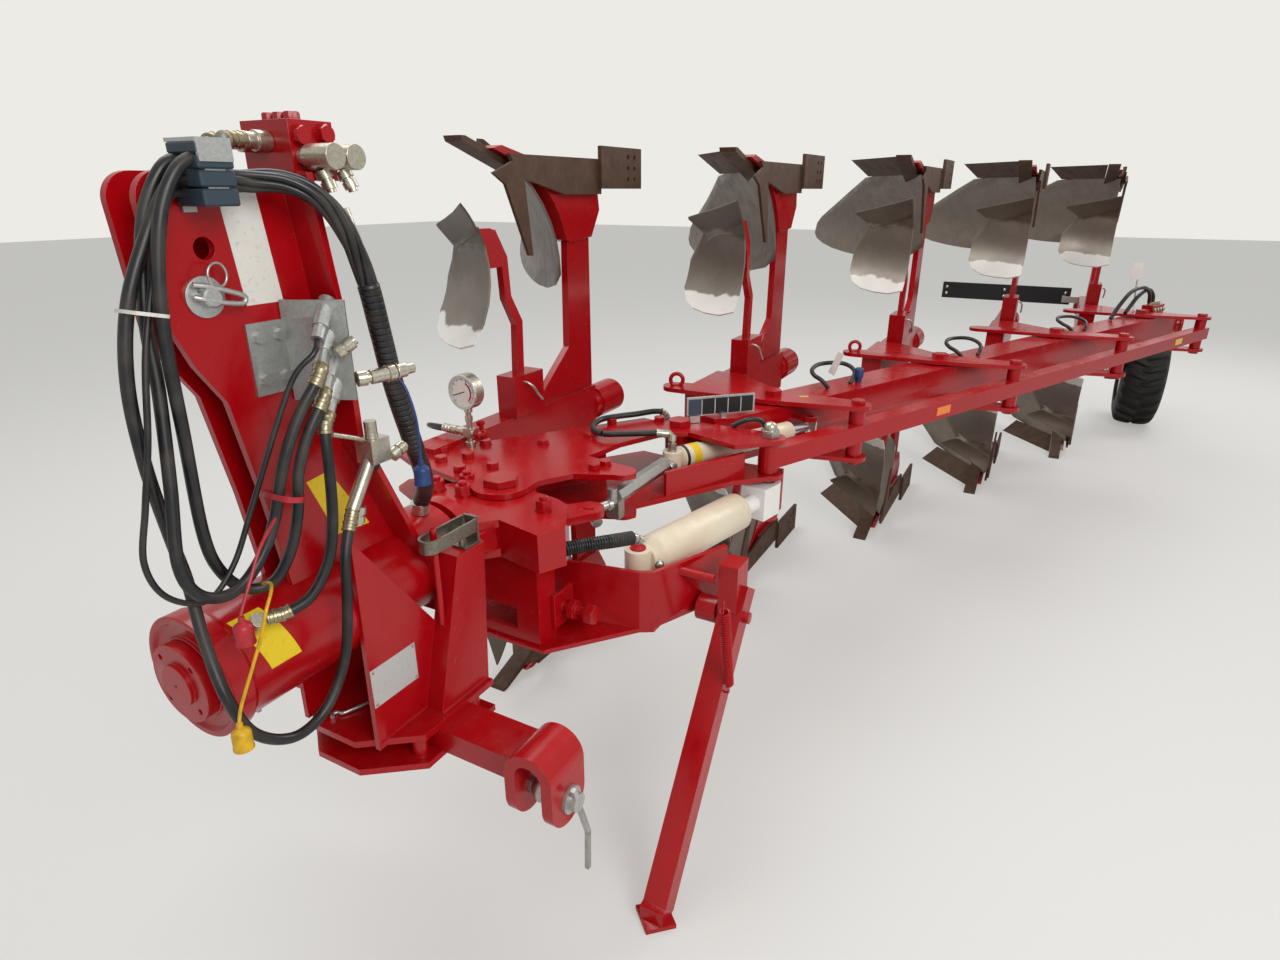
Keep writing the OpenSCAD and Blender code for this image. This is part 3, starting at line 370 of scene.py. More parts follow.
for name, points in HOSE_ROUTES.items():
    route = through(placed(points), HOSE_STEP)
    radius = OTHER_RADII.get(name, HOSE_RADIUS)
    if name == "hose_bundle":
        bare = int(BARE_SHARE * len(route))
        sleeve = route[bare:]
        swell = np.full(len(sleeve), radius)
        swell[0] = 0.6 * radius
        hose = made(name + "_rubber", [skin(round_rings(sleeve, swell, GUARD_SIDES))]
                    + strands(route[:bare + 4], STRANDS, STRAND_OFFSET, STRAND_RADIUS, STRAND_TURNS),
                    spiral_guard, sharp=HOSE_CREASE)
        hose.data.materials.append(plain_rubber)
        index = np.zeros(len(hose.data.polygons), dtype=int)
        index[(len(sleeve) - 1) * GUARD_SIDES + 2:] = 1
        hose.data.polygons.foreach_set("material_index", index)
        route_map(hose, sleeve, GUARD_SIDES)
    else:
        hose = made(name + "_rubber", [skin(round_rings(route, radius, HOSE_SIDES))], plain_rubber,
                    sharp=HOSE_CREASE)
        route_map(hose, route, HOSE_SIDES)
    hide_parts(name)

# Welded steel of headstock, beam, arms and legs
# Plate and square tube, laser-cut, welded, shot-blasted and sprayed bright red. The enamel is glossy
# with a fine orange peel, and thin workshop dust lies on what faces up.

EDGE = 0.0014


def enamel(name, colour, second, dust_colour, dust, rough):
    """Sprayed enamel: two close tones in large clouds, thin dust on what faces up, gloss over a fine peel."""
    material, tree, place = finish(name)
    cloud = add(tree, "TexNoise", Vector=place, Scale=1000.0 / 350.0, Detail=3.0)
    tone = add(tree, "Mix", RGBA, _0=cloud, _6=colour, _7=second)
    up = add(tree, "SeparateXYZ", Vector=add(tree, "NewGeometry").outputs["Normal"]).outputs["Z"]
    facing = add(tree, "MapRange", Value=up, From_Min=0.2, From_Max=1.0, To_Max=dust)
    patch = add(tree, "TexNoise", Vector=place, Scale=1000.0 / 45.0, Detail=9.0, Roughness=0.75)
    spread = add(tree, "MapRange", Value=patch, From_Min=0.42, From_Max=0.72)
    share = add(tree, "Math", {"operation": "MULTIPLY"}, _0=facing, _1=spread)
    coat = add(tree, "Mix", RGBA, _0=share, _6=tone, _7=dust_colour)
    peel = add(tree, "TexNoise", Vector=place, Scale=1000.0 / 6.0, Detail=1.0)
    return coated(material, tree, coat, patch, rough, 0.2, peel, 0.3, 0.0003, Specular_IOR_Level=0.4)


def solid_numbers(mesh):
    """The separate solid that each corner belongs to: the least corner number spreads along the edges."""
    ends = np.empty(len(mesh.edges) * 2, dtype=int)
    mesh.edges.foreach_get("vertices", ends)
    one, two = ends.reshape(-1, 2).T
    number = np.arange(len(mesh.vertices))
    while True:
        least = np.minimum(number[one], number[two])
        spread = number.copy()
        np.minimum.at(spread, one, least)
        np.minimum.at(spread, two, least)
        spread = spread[spread]
        if (spread == number).all():
            return number
        number = spread


def dressed(node, material, others=(), edge=EDGE, sharp=32.0):
    """A CAD node's mesh with rounded edges; others gives (material, rule on the box of a separate solid)."""
    source = frame["nodes"][node]
    mesh = source.data.copy()
    shell = bmesh.new()
    shell.from_mesh(mesh)
    bmesh.ops.remove_doubles(shell, verts=shell.verts, dist=0.00003)
    bmesh.ops.dissolve_limit(shell, angle_limit=math.radians(0.6), verts=shell.verts, edges=shell.edges)
    shell.to_mesh(mesh)
    shell.free()
    smooth(mesh, sharp)
    mesh.materials.clear()
    mesh.materials.append(material)
    if others:
        place = np.empty(len(mesh.vertices) * 3)
        mesh.vertices.foreach_get("co", place)
        place = place.reshape(-1, 3) * 1000.0 + HUB
        number = solid_numbers(mesh)
        start = np.empty(len(mesh.polygons), dtype=int)
        mesh.polygons.foreach_get("loop_start", start)
        corner = np.empty(len(mesh.loops), dtype=int)
        mesh.loops.foreach_get("vertex_index", corner)
        owner = number[corner[start]]
        index = np.zeros(len(mesh.polygons), dtype=int)
        for k, (other, rule) in enumerate(others, start=1):
            mesh.materials.append(other)
            for one in np.unique(number):
                if rule(place[number == one].min(axis=0), place[number == one].max(axis=0)):
                    index[owner == one] = k
        mesh.polygons.foreach_set("material_index", index)
    thing = shown(node + "_dressed", mesh)
    if edge:
        bevel = thing.modifiers.new("rounded_edges", "BEVEL")
        bevel.width = edge
        bevel.segments = 2
        bevel.limit_method = "ANGLE"
        bevel.angle_limit = math.radians(40.0)
    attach(thing, source["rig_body"])
    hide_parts(node)
    return thing


red_enamel = enamel("red_stove_enamel", "#ad0510", "#9a040c", "#a8604f", 0.07, 0.15)
dressed("rotor_box", red_enamel, sharp=52.0)
for node in ["headstock", "hub_housing", "turn_shaft", "cross_bar", "rotor", "adjuster", "stand",
             "swing_frame", "beam", "steering_tube", "wheel_arm"] + [
                 f"legs_{k}" for k in range(1, 6)] + [f"arms_{k}" for k in range(2, 6)]:
    dressed(node, red_enamel)

# Fittings and bare metal
# Fittings, nuts and sleeves are zinc-plated and passivated, sheet brackets are hot-dip galvanised,
# pins are turned steel, and the piston rods are ground and hard-chromed.


def metal(name, colour, second, grain_mm, rough, stain="#5a5045", stained=0.25, depth_mm=0.05):
    """Bare metal: two tones in grains of a real size, and smeared stains that also set the roughness."""
    material, tree, place = finish(name)
    grain = add(tree, "TexVoronoi", Vector=place, Scale=1000.0 / grain_mm)
    value = add(tree, "SeparateColor", Color=grain.outputs["Color"])
    tone = add(tree, "Mix", RGBA, _0=value, _6=colour, _7=second)
    smear = add(tree, "TexNoise", Vector=place, Scale=1000.0 / 22.0, Detail=7.0, Roughness=0.65)
    share = add(tree, "MapRange", Value=smear, From_Min=0.48, From_Max=0.78, To_Max=stained)
    mixed = add(tree, "Mix", RGBA, _0=share, _6=tone, _7=stain)
    return coated(material, tree, mixed, smear, rough, 0.22, smear, 0.3, depth_mm / 1000.0, Metallic=0.9)


zinc_plated = metal("zinc_plated_steel", "#c9c3b4", "#b3ac9b", 3.0, 0.22)
galvanised = metal("galvanised_sheet", "#c3c4c1", "#b4b6b3", 3.5, 0.34)
turned_steel = metal("turned_steel", "#b8b7b2", "#a5a39d", 2.0, 0.24)
chrome = metal("hard_chromed_steel", "#d9dadc", "#d2d3d6", 4.0, 0.08, stained=0.08, depth_mm=0.0)
brass_tinted = metal("yellow_passivated_steel", "#a89e84", "#91876b", 3.0, 0.3)
saddle_plastic = enamel("blue_grey_polyamide", "#33414c", "#2b3842", "#6e6a62", 0.3, 0.42)
white_enamel = enamel("white_enamel", "#e9e7e2", "#dedbd5", "#b8ada0", 0.35, 0.25)
cream_enamel = enamel("cream_enamel", "#e0d3bb", "#d8caaf", "#a08e74", 0.3, 0.24)
black_plastic = enamel("black_plastic", "#161618", "#1d1d20", "#6d675f", 0.35, 0.4)

dressed("lower_pins", turned_steel, [(galvanised, lambda low, high: high[2] - low[2] > 120)], edge=0.0008)
dressed("hub_fittings", zinc_plated, edge=0.0006)
dressed("stop_valve", zinc_plated, edge=0.0008)
dressed("gauge", zinc_plated, edge=0.0006)
dressed("feed_block", turned_steel, edge=0.0008)
# A darker, more stained copy of the zinc plating, for the brackets below 1000 mm: the latch strap.
dark_zinc = metal("worn_zinc_plated_strap", "#8f897c", "#777065", 3.0, 0.3, "#4a3f33", 0.5)
dressed("brackets", galvanised, [
    (dark_zinc, lambda low, high: high[2] < 1000),
    (saddle_plastic, lambda low, high: high[2] < 1660 and low[2] > 1600),
    (brass_tinted, lambda low, high: high[0] - low[0] < 60 and 1300 < low[2] < 1500 and low[0] > 90)],
    edge=0.0005)
dressed("turn_valve", red_enamel, [
    (zinc_plated, lambda low, high: high[1] < 326 or low[0] > 60)], edge=0.0008)
dressed("rear_valve", red_enamel, [(zinc_plated, lambda low, high: low[2] > 1000)], edge=0.0008)
dressed("swing_pins", red_enamel, [(turned_steel, lambda low, high: low[0] > 400)], edge=0.0008)
dressed("light_board", black_plastic, [(galvanised, lambda low, high: high[2] - low[2] < 60)], edge=0.001)
dressed("swing_barrel", cream_enamel, edge=0.0012)
dressed("width_barrel", cream_enamel, edge=0.0012)
dressed("swing_rod", chrome, [
    (white_enamel, lambda low, high: high[0] - low[0] > 80 and high[2] - low[2] > 90)])
dressed("width_rod", chrome, edge=0.0008)
slate_plastic = enamel("slate_plastic_tile", "#3b4a5c", "#34424f", "#7b7a76", 0.3, 0.35)
dressed("width_scale", black_plastic, [
    (galvanised, lambda low, high: high[0] - low[0] > 100),
    (slate_plastic, lambda low, high: high[0] < 223)], edge=0.0006)
dressed("wheel_rim", white_enamel, edge=0.001)

# Ferrules, ties and dust caps of the hoses
# Each hose end is crimped in a plated ferrule. Ties hold the loops together, and soft PVC caps in
# yellow, red and blue hang on straps beside the couplers while the plough is unhitched.


def soft_plastic(name, colour, shade, rough=0.42):
    """Soft moulded PVC: one colour with faint darker handling marks of 15 mm, and a fine matt grain."""
    material, tree, place = finish(name)
    marks = add(tree, "TexNoise", Vector=place, Scale=1000.0 / 15.0, Detail=5.0)
    share = add(tree, "MapRange", Value=marks, From_Min=0.4, From_Max=0.75)
    tone = add(tree, "Mix", RGBA, _0=share, _6=colour, _7=shade)
    bump = add(tree, "Bump", Height=marks, Strength=0.3, Distance=0.0003)
    shader = add(tree, "BsdfPrincipled", Base_Color=tone, Roughness=rough, Normal=bump)
    add(tree, "OutputMaterial", Surface=shader)
    return material


def square_to(points):
    """X, or Z for a line that runs mostly along X: a direction that is well off the line's own."""
    reach = np.abs(np.asarray(points[-1], dtype=float) - np.asarray(points[0], dtype=float))
    return (0, 0, 1) if reach[0] > 0.8 * np.linalg.norm(reach) else (1, 0, 0)


def along(points, profile, sides=24):
    """Turned surface on a line of millimetre points: rings of the profile's (distance, radius) along it."""
    route = through(placed(points), 0.002)
    distance, radius = np.asarray(profile, dtype=float).T / 1000.0
    run = distances(route)
    centre = np.stack([np.interp(distance, run, line) for line in route.T], axis=1)
    ahead = np.stack([np.interp(distance, run, np.gradient(line)) for line in route.T], axis=1)
    ahead /= np.linalg.norm(ahead, axis=1, keepdims=True)
    return skin(rings_round(centre, ahead, radius, sides, square_to(points)))


def rod(points, radius, sides=12, step=6.0):
    """Round bar or strap of one radius on a smooth line through millimetre points."""
    return skin(round_rings(through(placed(points), step / 1000.0), radius / 1000.0, sides,
                            square_to(points)))


FERRULE = [(0, 7.5), (0.5, 12.6), (3, 12.6), (4, 11.2), (9, 11.2), (10, 12.4), (14, 12.4), (15, 11.2),
           (21, 11.2), (22, 12.4), (26, 12.4), (27, 11.2), (33, 11.2), (34, 12.2), (38, 12.2), (39, 9.2)]
ferrules = [along(HOSE_ROUTES[name][:4], FERRULE) for name in ("hose_1", "hose_2")]
ferrules += [along(HOSE_ROUTES[name][::-1][:4], FERRULE) for name in ("hose_1", "hose_2", "hose_3", "hose_4")]
ferrules.append(along(HOSE_ROUTES["hose_4"][:4], FERRULE))
made("hose_ferrules", ferrules, brass_tinted)

white_tie = soft_plastic("white_polyamide_tie", "#d8d6cf", "#c4c1b8", 0.4)
red_pvc = soft_plastic("red_pvc_cap", "#b3202c", "#8f1a24")
yellow_pvc = soft_plastic("yellow_pvc_cap", "#d9a90e", "#a9810f")
blue_pvc = soft_plastic("blue_pvc_cap", "#17376f", "#122b57")


def round_axis(axis):
    """A unit axis and two unit directions square to it, the first one level unless the axis is upright."""
    axis = np.asarray(axis, dtype=float) / np.linalg.norm(axis)
    return axis, *square_pair(axis, (0, 0, 1) if abs(axis[2]) < 0.9 else (1, 0, 0))


def band(centre, normal, wide, deep, thick, tall):
    """Flat tie round a group of hoses: a rounded-corner ring, wide by deep, square to normal."""
    turn = even_angles(40)
    n, one, two = round_axis(normal)
    c, s = np.cos(turn), np.sin(turn)
    x = np.sign(c) * np.abs(c) ** 0.6
    y = np.sign(s) * np.abs(s) ** 0.6
    loops = []
    for grow, lift in ((0.0, -0.5), (thick, -0.5), (thick, 0.5), (0.0, 0.5)):
        loops.append(centre + (x * (wide / 2 + grow))[:, None] * one
                     + (y * (deep / 2 + grow))[:, None] * two + lift * tall * n)
    rings = placed(np.stack(loops, axis=1))
    return skin(rings.reshape(40, 4, 3), closed=True)


made("guide_tie", [band((75.5, 43, 1476), (0, -0.25, -1), 52, 52, 1.4, 5)], white_tie)
made("red_tie", [band((117, 168, 1176), (0, 0.35, 1), 36, 62, 2.4, 9)], red_pvc)

CAP = [(0, 3), (1, 4.5), (9, 5), (11, 8), (14, 12), (17, 14), (20, 14.5), (40, 14.5), (43, 15.3), (46, 15.3),
       (47, 12), (26, 11.5)]


def dust_cap(name, strap, material):
    """Moulded cap that hangs straight below the last point of its strap, the strap a round cord of 5 mm."""
    x, y, z = strap[-1]
    line = [(x, y, z), (x + 0.5, y - 1, z - 25), (x + 1, y - 2, z - 50)]
    made(name, [rod(strap, 2.6, 10), along(line, CAP, 28)], material)


dust_cap("yellow_cap", [(95, 118, 1036), (118, 114, 1048), (141, 104, 1054), (164, 84, 1052), (176, 66, 1040),
                        (172, 52, 1000), (170, 26, 950), (168, 2, 905), (167, -6, 880)], yellow_pvc)
dust_cap("red_cap", [(118, 150, 1150), (136, 100, 1118), (146, 70, 1082), (150, 46, 1046), (152, 40, 1036)],
         red_pvc)
dust_cap("blue_cap", [(166, 392, 1322), (178, 394, 1302), (190, 396, 1250), (192, 394, 1180)], blue_pvc)

# Labels and plates
# Printed vinyl on the tower, hub and beam, left blank, and an aluminium data plate with four rivets.


def slab(corners, thickness):
    """Thin plate: its outline in millimetres, in order, and the same outline moved by thickness."""
    outline = placed(corners)
    away = np.asarray(thickness, dtype=float) / 1000.0
    return skin(np.stack([outline, outline + away]))


def vinyl(name, colour, scuff):
    """Printed vinyl: flat ink under a thin gloss, scuffed in spots of 8 mm."""
    material, tree, place = finish(name)
    spots = add(tree, "TexNoise", Vector=place, Scale=1000.0 / 8.0, Detail=6.0, Roughness=0.7)
    share = add(tree, "MapRange", Value=spots, From_Min=0.56, From_Max=0.72, To_Max=0.7)
    tone = add(tree, "Mix", RGBA, _0=share, _6=colour, _7=scuff)
    dull = add(tree, "MapRange", Value=spots, To_Min=0.25, To_Max=0.55)
    shader = add(tree, "BsdfPrincipled", Base_Color=tone, Roughness=dull)
    add(tree, "OutputMaterial", Surface=shader)
    return material


white_vinyl = vinyl("white_vinyl", "#dedbd2", "#b5aba2")
yellow_vinyl = vinyl("yellow_vinyl", "#e0c013", "#b5960f")
grey_vinyl = vinyl("printed_aluminium_plate", "#b9b8b5", "#96938f")

TOWER_FACE = 42.2
PANEL_FACE = 110.2
for name, x, corners, thickness, material in [
        ("tower_strip", TOWER_FACE, [(201, 1629), (262, 1652), (282, 1462), (217, 1462)], 0.5, white_vinyl),
        ("tower_label", TOWER_FACE, [(267, 1152), (315, 1158), (389, 1027), (313, 1033)], 0.5, yellow_vinyl),
        ("data_plate", PANEL_FACE, [(283, 770), (283, 685), (400, 685), (400, 770)], 0.8, grey_vinyl)]:
    made(name, [slab([(x, y, z) for y, z in corners], (thickness, 0, 0))], material)

AXIS_HEIGHT = 882.0


def on_drum(name, radius, angles, ys, material):
    """Label round the hub: a slanting grid over an angle range and a Y range on its radius, 0.5 mm thick."""
    a = np.radians(np.linspace(angles[0], angles[1], 13))
    y = np.linspace(ys[0], ys[1], 5)
    slant = 26.0 * np.linspace(1.0, 0.0, 13)
    loops = []
    for grow, pick in ((0.25, y), (0.75, y[::-1])):
        r = radius + grow
        loops += [np.stack([r * np.cos(a), v + slant, AXIS_HEIGHT + r * np.sin(a)], axis=1) for v in pick]
    made(name, [skin(placed(np.stack(loops, axis=1)))], material)


on_drum("hub_label", 104.0, (4.0, 62.0), (74.0, 132.0), yellow_vinyl)

# Bolts and rivets
# Hexagon bolts, nuts and studs that were painted over with the steel, and the data plate's bright rivets.


WASHER = 0.62
WASHER_THICK = 0.18
CHAMFER = 0.86


def hexagons(places, axis, across, height):
    """Bolt heads: a washer, a hexagon of r = across / 2 / cos(angle from its flat), and a chamfered top."""
    axis, one, two = round_axis(axis)
    turn = even_angles(24)
    flat = across / 2.0 / np.cos((turn + np.pi / 6.0) % (np.pi / 3.0) - np.pi / 6.0)
    disc = np.full(24, across * WASHER)
    top = np.minimum(flat, across * 0.5)
    base = height * WASHER_THICK
    radii = np.stack([disc, disc, flat, flat, top])
    rise = np.array([0.0, base, base, height * CHAMFER, height])
    shape = (radii[:, :, None] * (np.cos(turn)[None, :, None] * one + np.sin(turn)[None, :, None] * two)
             + rise[:, None, None] * axis)
    return [skin(placed(shape + place)) for place in places]


made("plate_rivets", hexagons([(110.9, y, z) for y in (289, 394) for z in (691, 764)], (1, 0, 0), 5, 2),
     zinc_plated)
made("valve_bolts", hexagons([(x, 369, 1731.4) for x in (-32, -6, 20)], (0, 0, 1), 22, 14), red_enamel)
made("valve_bosses", hexagons([(62.2, 343, 1708), (62.2, 390, 1712)], (1, 0, 0), 26, 12), red_enamel)

ROTOR_TOP = 929.2
ROTOR_BOLTS = [(-140, 762), (-100, 830), (-60, 768), (169, 785)]
made("rotor_nuts", hexagons([(x, y, ROTOR_TOP) for x, y in ROTOR_BOLTS], (0, 0, 1), 36, 26), red_enamel,
     "rotor")
made("rotor_studs", [along([(x, y, 950), (x, y, 966)], [(0, 11), (13, 11), (15, 9)], 16)
                     for x, y in ROTOR_BOLTS], red_enamel, "rotor")

FRAME_TOP = 945.2
FRAME_BOLTS = [(-248, 897), (-300, 960), (-234, 1066), (-90, 1148), (-8, 1267), (99, 1513), (159, 1081)]
made("frame_bolts", hexagons([(x, y, FRAME_TOP) for x, y in FRAME_BOLTS], (0, 0, 1), 30, 14), red_enamel,
     "swing_frame")

# Weld seams
# Fillet welds of 6 mm run where the plates meet, with ripples about 5 mm apart, under the same red.


def weld(points, size=6.0):
    """Weld bead on a line: a round of size whose radius swells by an eighth of itself every 5 mm."""
    route = through(placed(points), 0.0012)
    radii = size / 2000.0 * (1.0 + 0.12 * np.sin(distances(route) * 2.0 * np.pi / 0.005))
    radii[0] = radii[-1] = size / 8000.0
    return skin(round_rings(route, radii, 8, square_to(points)))


BASE_TOP = 600.5
BASE_SEAMS = [(110, (287, 420, 556)), (-110, (287, 420, 556)), (155, (412, 480, 558))]
made("headstock_welds", [weld([(x, y, BASE_TOP) for y in ys]) for x, ys in BASE_SEAMS]
     + [weld([(42.5, 200, 985), (42.5, 186, 1144), (42.5, 156, 1322)], 1.0)], red_enamel)
made("fork_welds", [weld([(x, y, z) for y in (386, 430, 484)]) for x in (-392, 392) for z in (585.5, 530.5)],
     red_enamel)

# Hose saddle on top of the tower
# Two stacked pipe clamps of blue-grey polyamide, each split in halves, under a galvanised cap with a
# screw, hold the hoses where they cross the top of the tower.


def block(low, high, soft):
    """Box with rounded corners and chamfered ends: rounded rectangles at four heights, soft the radius."""
    low, high = np.asarray(low, dtype=float), np.asarray(high, dtype=float)
    turn = np.radians(np.repeat(np.arange(0, 360, 90), 5) + np.tile(np.linspace(0, 90, 5), 4))
    c, s = np.cos(turn), np.sin(turn)
    pick_x = np.repeat([1, 0, 0, 1], 5)
    pick_y = np.repeat([1, 1, 0, 0], 5)
    loops = []
    cut = soft * 0.6
    for inset, z in ((cut, low[2]), (0.0, low[2] + cut), (0.0, high[2] - cut), (cut, high[2])):
        x = np.where(pick_x, high[0] - soft, low[0] + soft) + (soft - inset) * c
        y = np.where(pick_y, high[1] - soft, low[1] + soft) + (soft - inset) * s
        loops.append(np.stack([x, y, np.full(20, z)], axis=1))
    return skin(placed(np.stack(loops)))


SADDLE_HALVES = [(1608, 1631), (1633, 1654), (1656, 1673), (1675, 1690)]
made("hose_saddle", [block((45, 138, low), (110, 192, high), 4) for low, high in SADDLE_HALVES],
     saddle_plastic)

# Lower link pins
# The flat handle of each pin hangs straight down below its bend.

made("pin_handles", [slab([(x, 413, 447), (x + 9, 413, 447), (x + 9, 409, 356), (x, 409, 356)], (0, 10, 0))
                     for x in (503.0, -512.0)], turned_steel)

# Top link pin
# Turned pin of 25 mm with a washer, a loop of bent 8 mm wire to pull it by, and a linch ring.


def ring(centre, axis, radius, wire, sides=12, around=48):
    """Wire ring: a circle of the wire's radius carried round a circle square to axis."""
    axis, one, two = round_axis(axis)
    big = even_angles(around)[:, None, None]
    small = even_angles(sides)[:, None]
    out = np.cos(big) * one + np.sin(big) * two
    points = centre + (radius + wire * np.cos(small)) * out + wire * np.sin(small) * axis
    return skin(placed(points), closed=True)


pin = made("top_link_pin_turned", [
    along([(-64, 152, 1483), (69, 152, 1483)],
          [(0, 9), (3, 12.4), (105.6, 12.4), (106, 30), (110.6, 30), (111, 29), (111.4, 15), (128, 15),
           (131, 12)], 36),
    rod([(58, 129, 1503), (63, 150, 1499), (64, 180, 1489), (64, 200, 1481), (64, 202, 1475), (64, 195, 1470),
         (64, 165, 1475), (63, 140, 1482), (58, 128, 1486)], 4.0, 12, 3.0),
    ring((62, 166, 1514), (1, 0.2, 0), 17, 1.9)], galvanised)
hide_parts("top_link_pin")

# Stop valve lever, unions and couplers
# Turned and zinc-plated: the stop valve's lever, the turnover valve's unions, the spare couplers and the
# parked link pin, with a black knob on the lever.

UNION = [(0, 8), (0.5, 12.5), (13, 12.5), (13.5, 9), (17, 9), (17.5, 11.5), (29, 11.5), (29.5, 8), (34, 8)]
made("stop_valve_lever", [rod([(124, 270, 1251), (122, 320, 1230), (120, 352, 1212), (119, 380, 1201)], 4.5),
                          along([(144, 372, 1186), (148, 402, 1199), (152, 448, 1221)], UNION),
                          along([(128, 300, 1112), (128, 296, 1095), (128, 290, 1070)], UNION)],
     zinc_plated)
made("stop_valve_knob", [along([(120, 356, 1204), (120, 353, 1182), (120, 349, 1156)],
                               [(0, 5), (2, 9), (8, 10), (34, 10), (40, 8), (44, 3)])],
     black_plastic)
made("turnover_unions", [along([(100, 345, 1658), (106, 352, 1630), (112, 356, 1590)], UNION),
                         along([(100, 385, 1658), (112, 392, 1628), (120, 398, 1586)], UNION),
                         along([(114, 360, 1600), (121, 370, 1560), (124, 384, 1520)], UNION)],
     zinc_plated)
made("parked_pin", [rod([(-34, 290, 604.6), (-43, 298, 604.6), (-38, 308, 604.6), (-27, 309, 605),
                         (-17, 328, 606), (-4, 361, 606), (0, 400, 606),
                         (5, 441, 606)], 4.4)], galvanised)

COUPLER = [(0, 8), (1, 13), (16, 13), (17, 9), (22, 9), (23, 12.5), (52, 12.5), (53, 15), (66, 15),
           (67, 12.5), (88, 12.5), (89, 9), (104, 9), (106, 7)]
made("spare_couplers", [along([(136, 326, 1334), (150, 360, 1335), (170, 446, 1338)], COUPLER),
                        along([(132, 300, 1384), (146, 316, 1398), (158, 338, 1416)], UNION),
                        ring((158, 392, 1336), (0.25, 1, 0), 14.5, 1.6)], zinc_plated)

# Hub front
# The turning shaft's end cap is a turned disc with five screw holes round the shaft's centred end. The holes,
# and a centre hole in the shaft's end, are thin black discs: painted shade.

made("shaft_cap", [along([(0, 26.5, AXIS_HEIGHT), (0, 10, AXIS_HEIGHT)],
                         [(0, 66), (8, 66), (9.5, 64), (9.6, 45), (12, 43), (12.2, 37)], 72)],
     red_enamel, "rotor")
HOLE_CIRCLE = 54
# Thin black discs for the screw holes and the shaft's centre hole: painted shade in the holes.
made("shaft_cap_hole_painted_shade", [
    along([(HOLE_CIRCLE * math.cos(a), y, AXIS_HEIGHT + HOLE_CIRCLE * math.sin(a)) for y in (16.85, 16.3)],
          [(0, 4.2), (0.2, 4.2), (0.3, 4.0)], 16) for a in np.radians([20, 92, 164, 236, 308])] + [
    along([(0, -0.02, AXIS_HEIGHT), (0, -0.4, AXIS_HEIGHT)], [(0, 3), (0.1, 3), (0.2, 2.6)], 16)],
     black_plastic, "rotor")

# Latch pin and stand spring
# A red pin stands up from the headstock, and a painted tension spring holds the stand.


def coil(start, end, radius, wire, turns, sides=8):
    """Spring: a helix of the radius about the line from start to end, hooked ends left to rods."""
    start, end = np.asarray([start, end], dtype=float)
    ahead = (end - start) / np.linalg.norm(end - start)
    one, two = square_pair(ahead, (1, 0, 0))
    t = np.linspace(0.0, 1.0, int(turns * 16) + 1)[:, None]
    turn = 2.0 * np.pi * turns * t
    route = start + t * (end - start) + radius * (np.cos(turn) * one + np.sin(turn) * two)
    return skin(round_rings(placed(route), wire / 1000.0, sides, ahead))


made("latch_pin", [along([(133, 462, 786), (133, 462, 1004)], [(0, 7), (215, 7), (217.5, 5)])],
     red_enamel)
SPRING_TOP = (598, 862, 765)
SPRING_FOOT = (598, 925, 477)
made("stand_spring", [coil((598, 869, 735), (598, 919, 505), 11, 2.6, 34),
                      rod([SPRING_TOP, (598, 861, 748), (598, 858.3, 732.7)], 2.6),
                      rod([(598, 908.3, 502.7), (598, 918, 490), SPRING_FOOT, (590, 926, 472),
                           (578, 927, 470)], 2.6)],
     red_enamel, "stand")

# Width scale
# Five plastic tiles on a galvanised plate, parted by white lines, with two bent pointers below them.

SCALE_OUT = np.array([0.7071, -0.7071, 0.0])
SCALE_ALONG = np.array([0.7071, 0.7071, 0.0])
TILE_PITCH = 31.1


def scale_mark(x, y, wide, low, high, proud=0.6):
    """Upright plate on the tiles' front: centred at x and y, wide along them, from low to high."""
    side = SCALE_ALONG * wide / 2.0
    foot = np.array([x, y, 0.0]) + 0.15 * SCALE_OUT
    corners = ((-1, low), (1, low), (1, high), (-1, high))
    return slab([foot + way * side + (0, 0, z) for way, z in corners], proud * SCALE_OUT)


made("scale_lines", [scale_mark(190.4 + TILE_PITCH * k, 1536 + TILE_PITCH * k, 2.2, 971, 1017)
                     for k in range(1, 5)], white_vinyl, "swing_frame")
made("scale_pointers", [scale_mark(203, 1549, 34, 947, 968, 9.0), scale_mark(270, 1616, 16, 948, 972, 14.0)],
     galvanised, "swing_frame")

# Hydraulic parts on the swing frame
# A black hose bent in a U over the frame, the feed block's elbow, the width cylinder's bands and red
# plug, and a corrugated sleeve over the hoses to the alignment cylinder.

FRAME_HOSES = {
    "u_hose": ([(212, 1358, 962), (186, 1340, 966), (156, 1322, 966), (99, 1292, 964), (45, 1262, 964),
                (2, 1280, 964), (-30, 1330, 964), (-36, 1390, 964), (-8, 1440, 964), (30, 1490, 964),
                (62, 1540, 964), (82, 1568, 958), (90, 1580, 942),
                (92, 1584, 922)], 9.0),
    "scale_hose": ([(328, 1558, 949), (372, 1580, 970), (400, 1612, 962), (410, 1640, 930)], 8.0),
    "gauge_hose": ([(-322, 1036, 985), (-380, 1040, 985), (-440, 1060, 975), (-470, 1110, 950),
                    (-480, 1180, 920)], 7.0),
}
made("frame_hoses", [rod(points, radius, 16, 5.0) for points, radius in FRAME_HOSES.values()], plain_rubber,
     "swing_frame")
made("frame_ferrules", [
    along([(212, 1358, 962), (186, 1340, 966), (156, 1322, 966)], FERRULE),
    along([(92, 1584, 930), (90, 1580, 942), (82, 1568, 958), (62, 1540, 964), (30, 1490, 964)], FERRULE),
    along([(228, 1345, 925), (228, 1345, 948), (226, 1350, 966), (212, 1358, 964)],
          [(0, 12), (14, 12), (15, 9), (22, 9), (23, 12), (38, 12), (39, 9), (58, 9)]),
    along([(-322, 1036, 985), (-350, 1038, 985), (-380, 1040, 985)], FERRULE)], zinc_plated, "swing_frame")
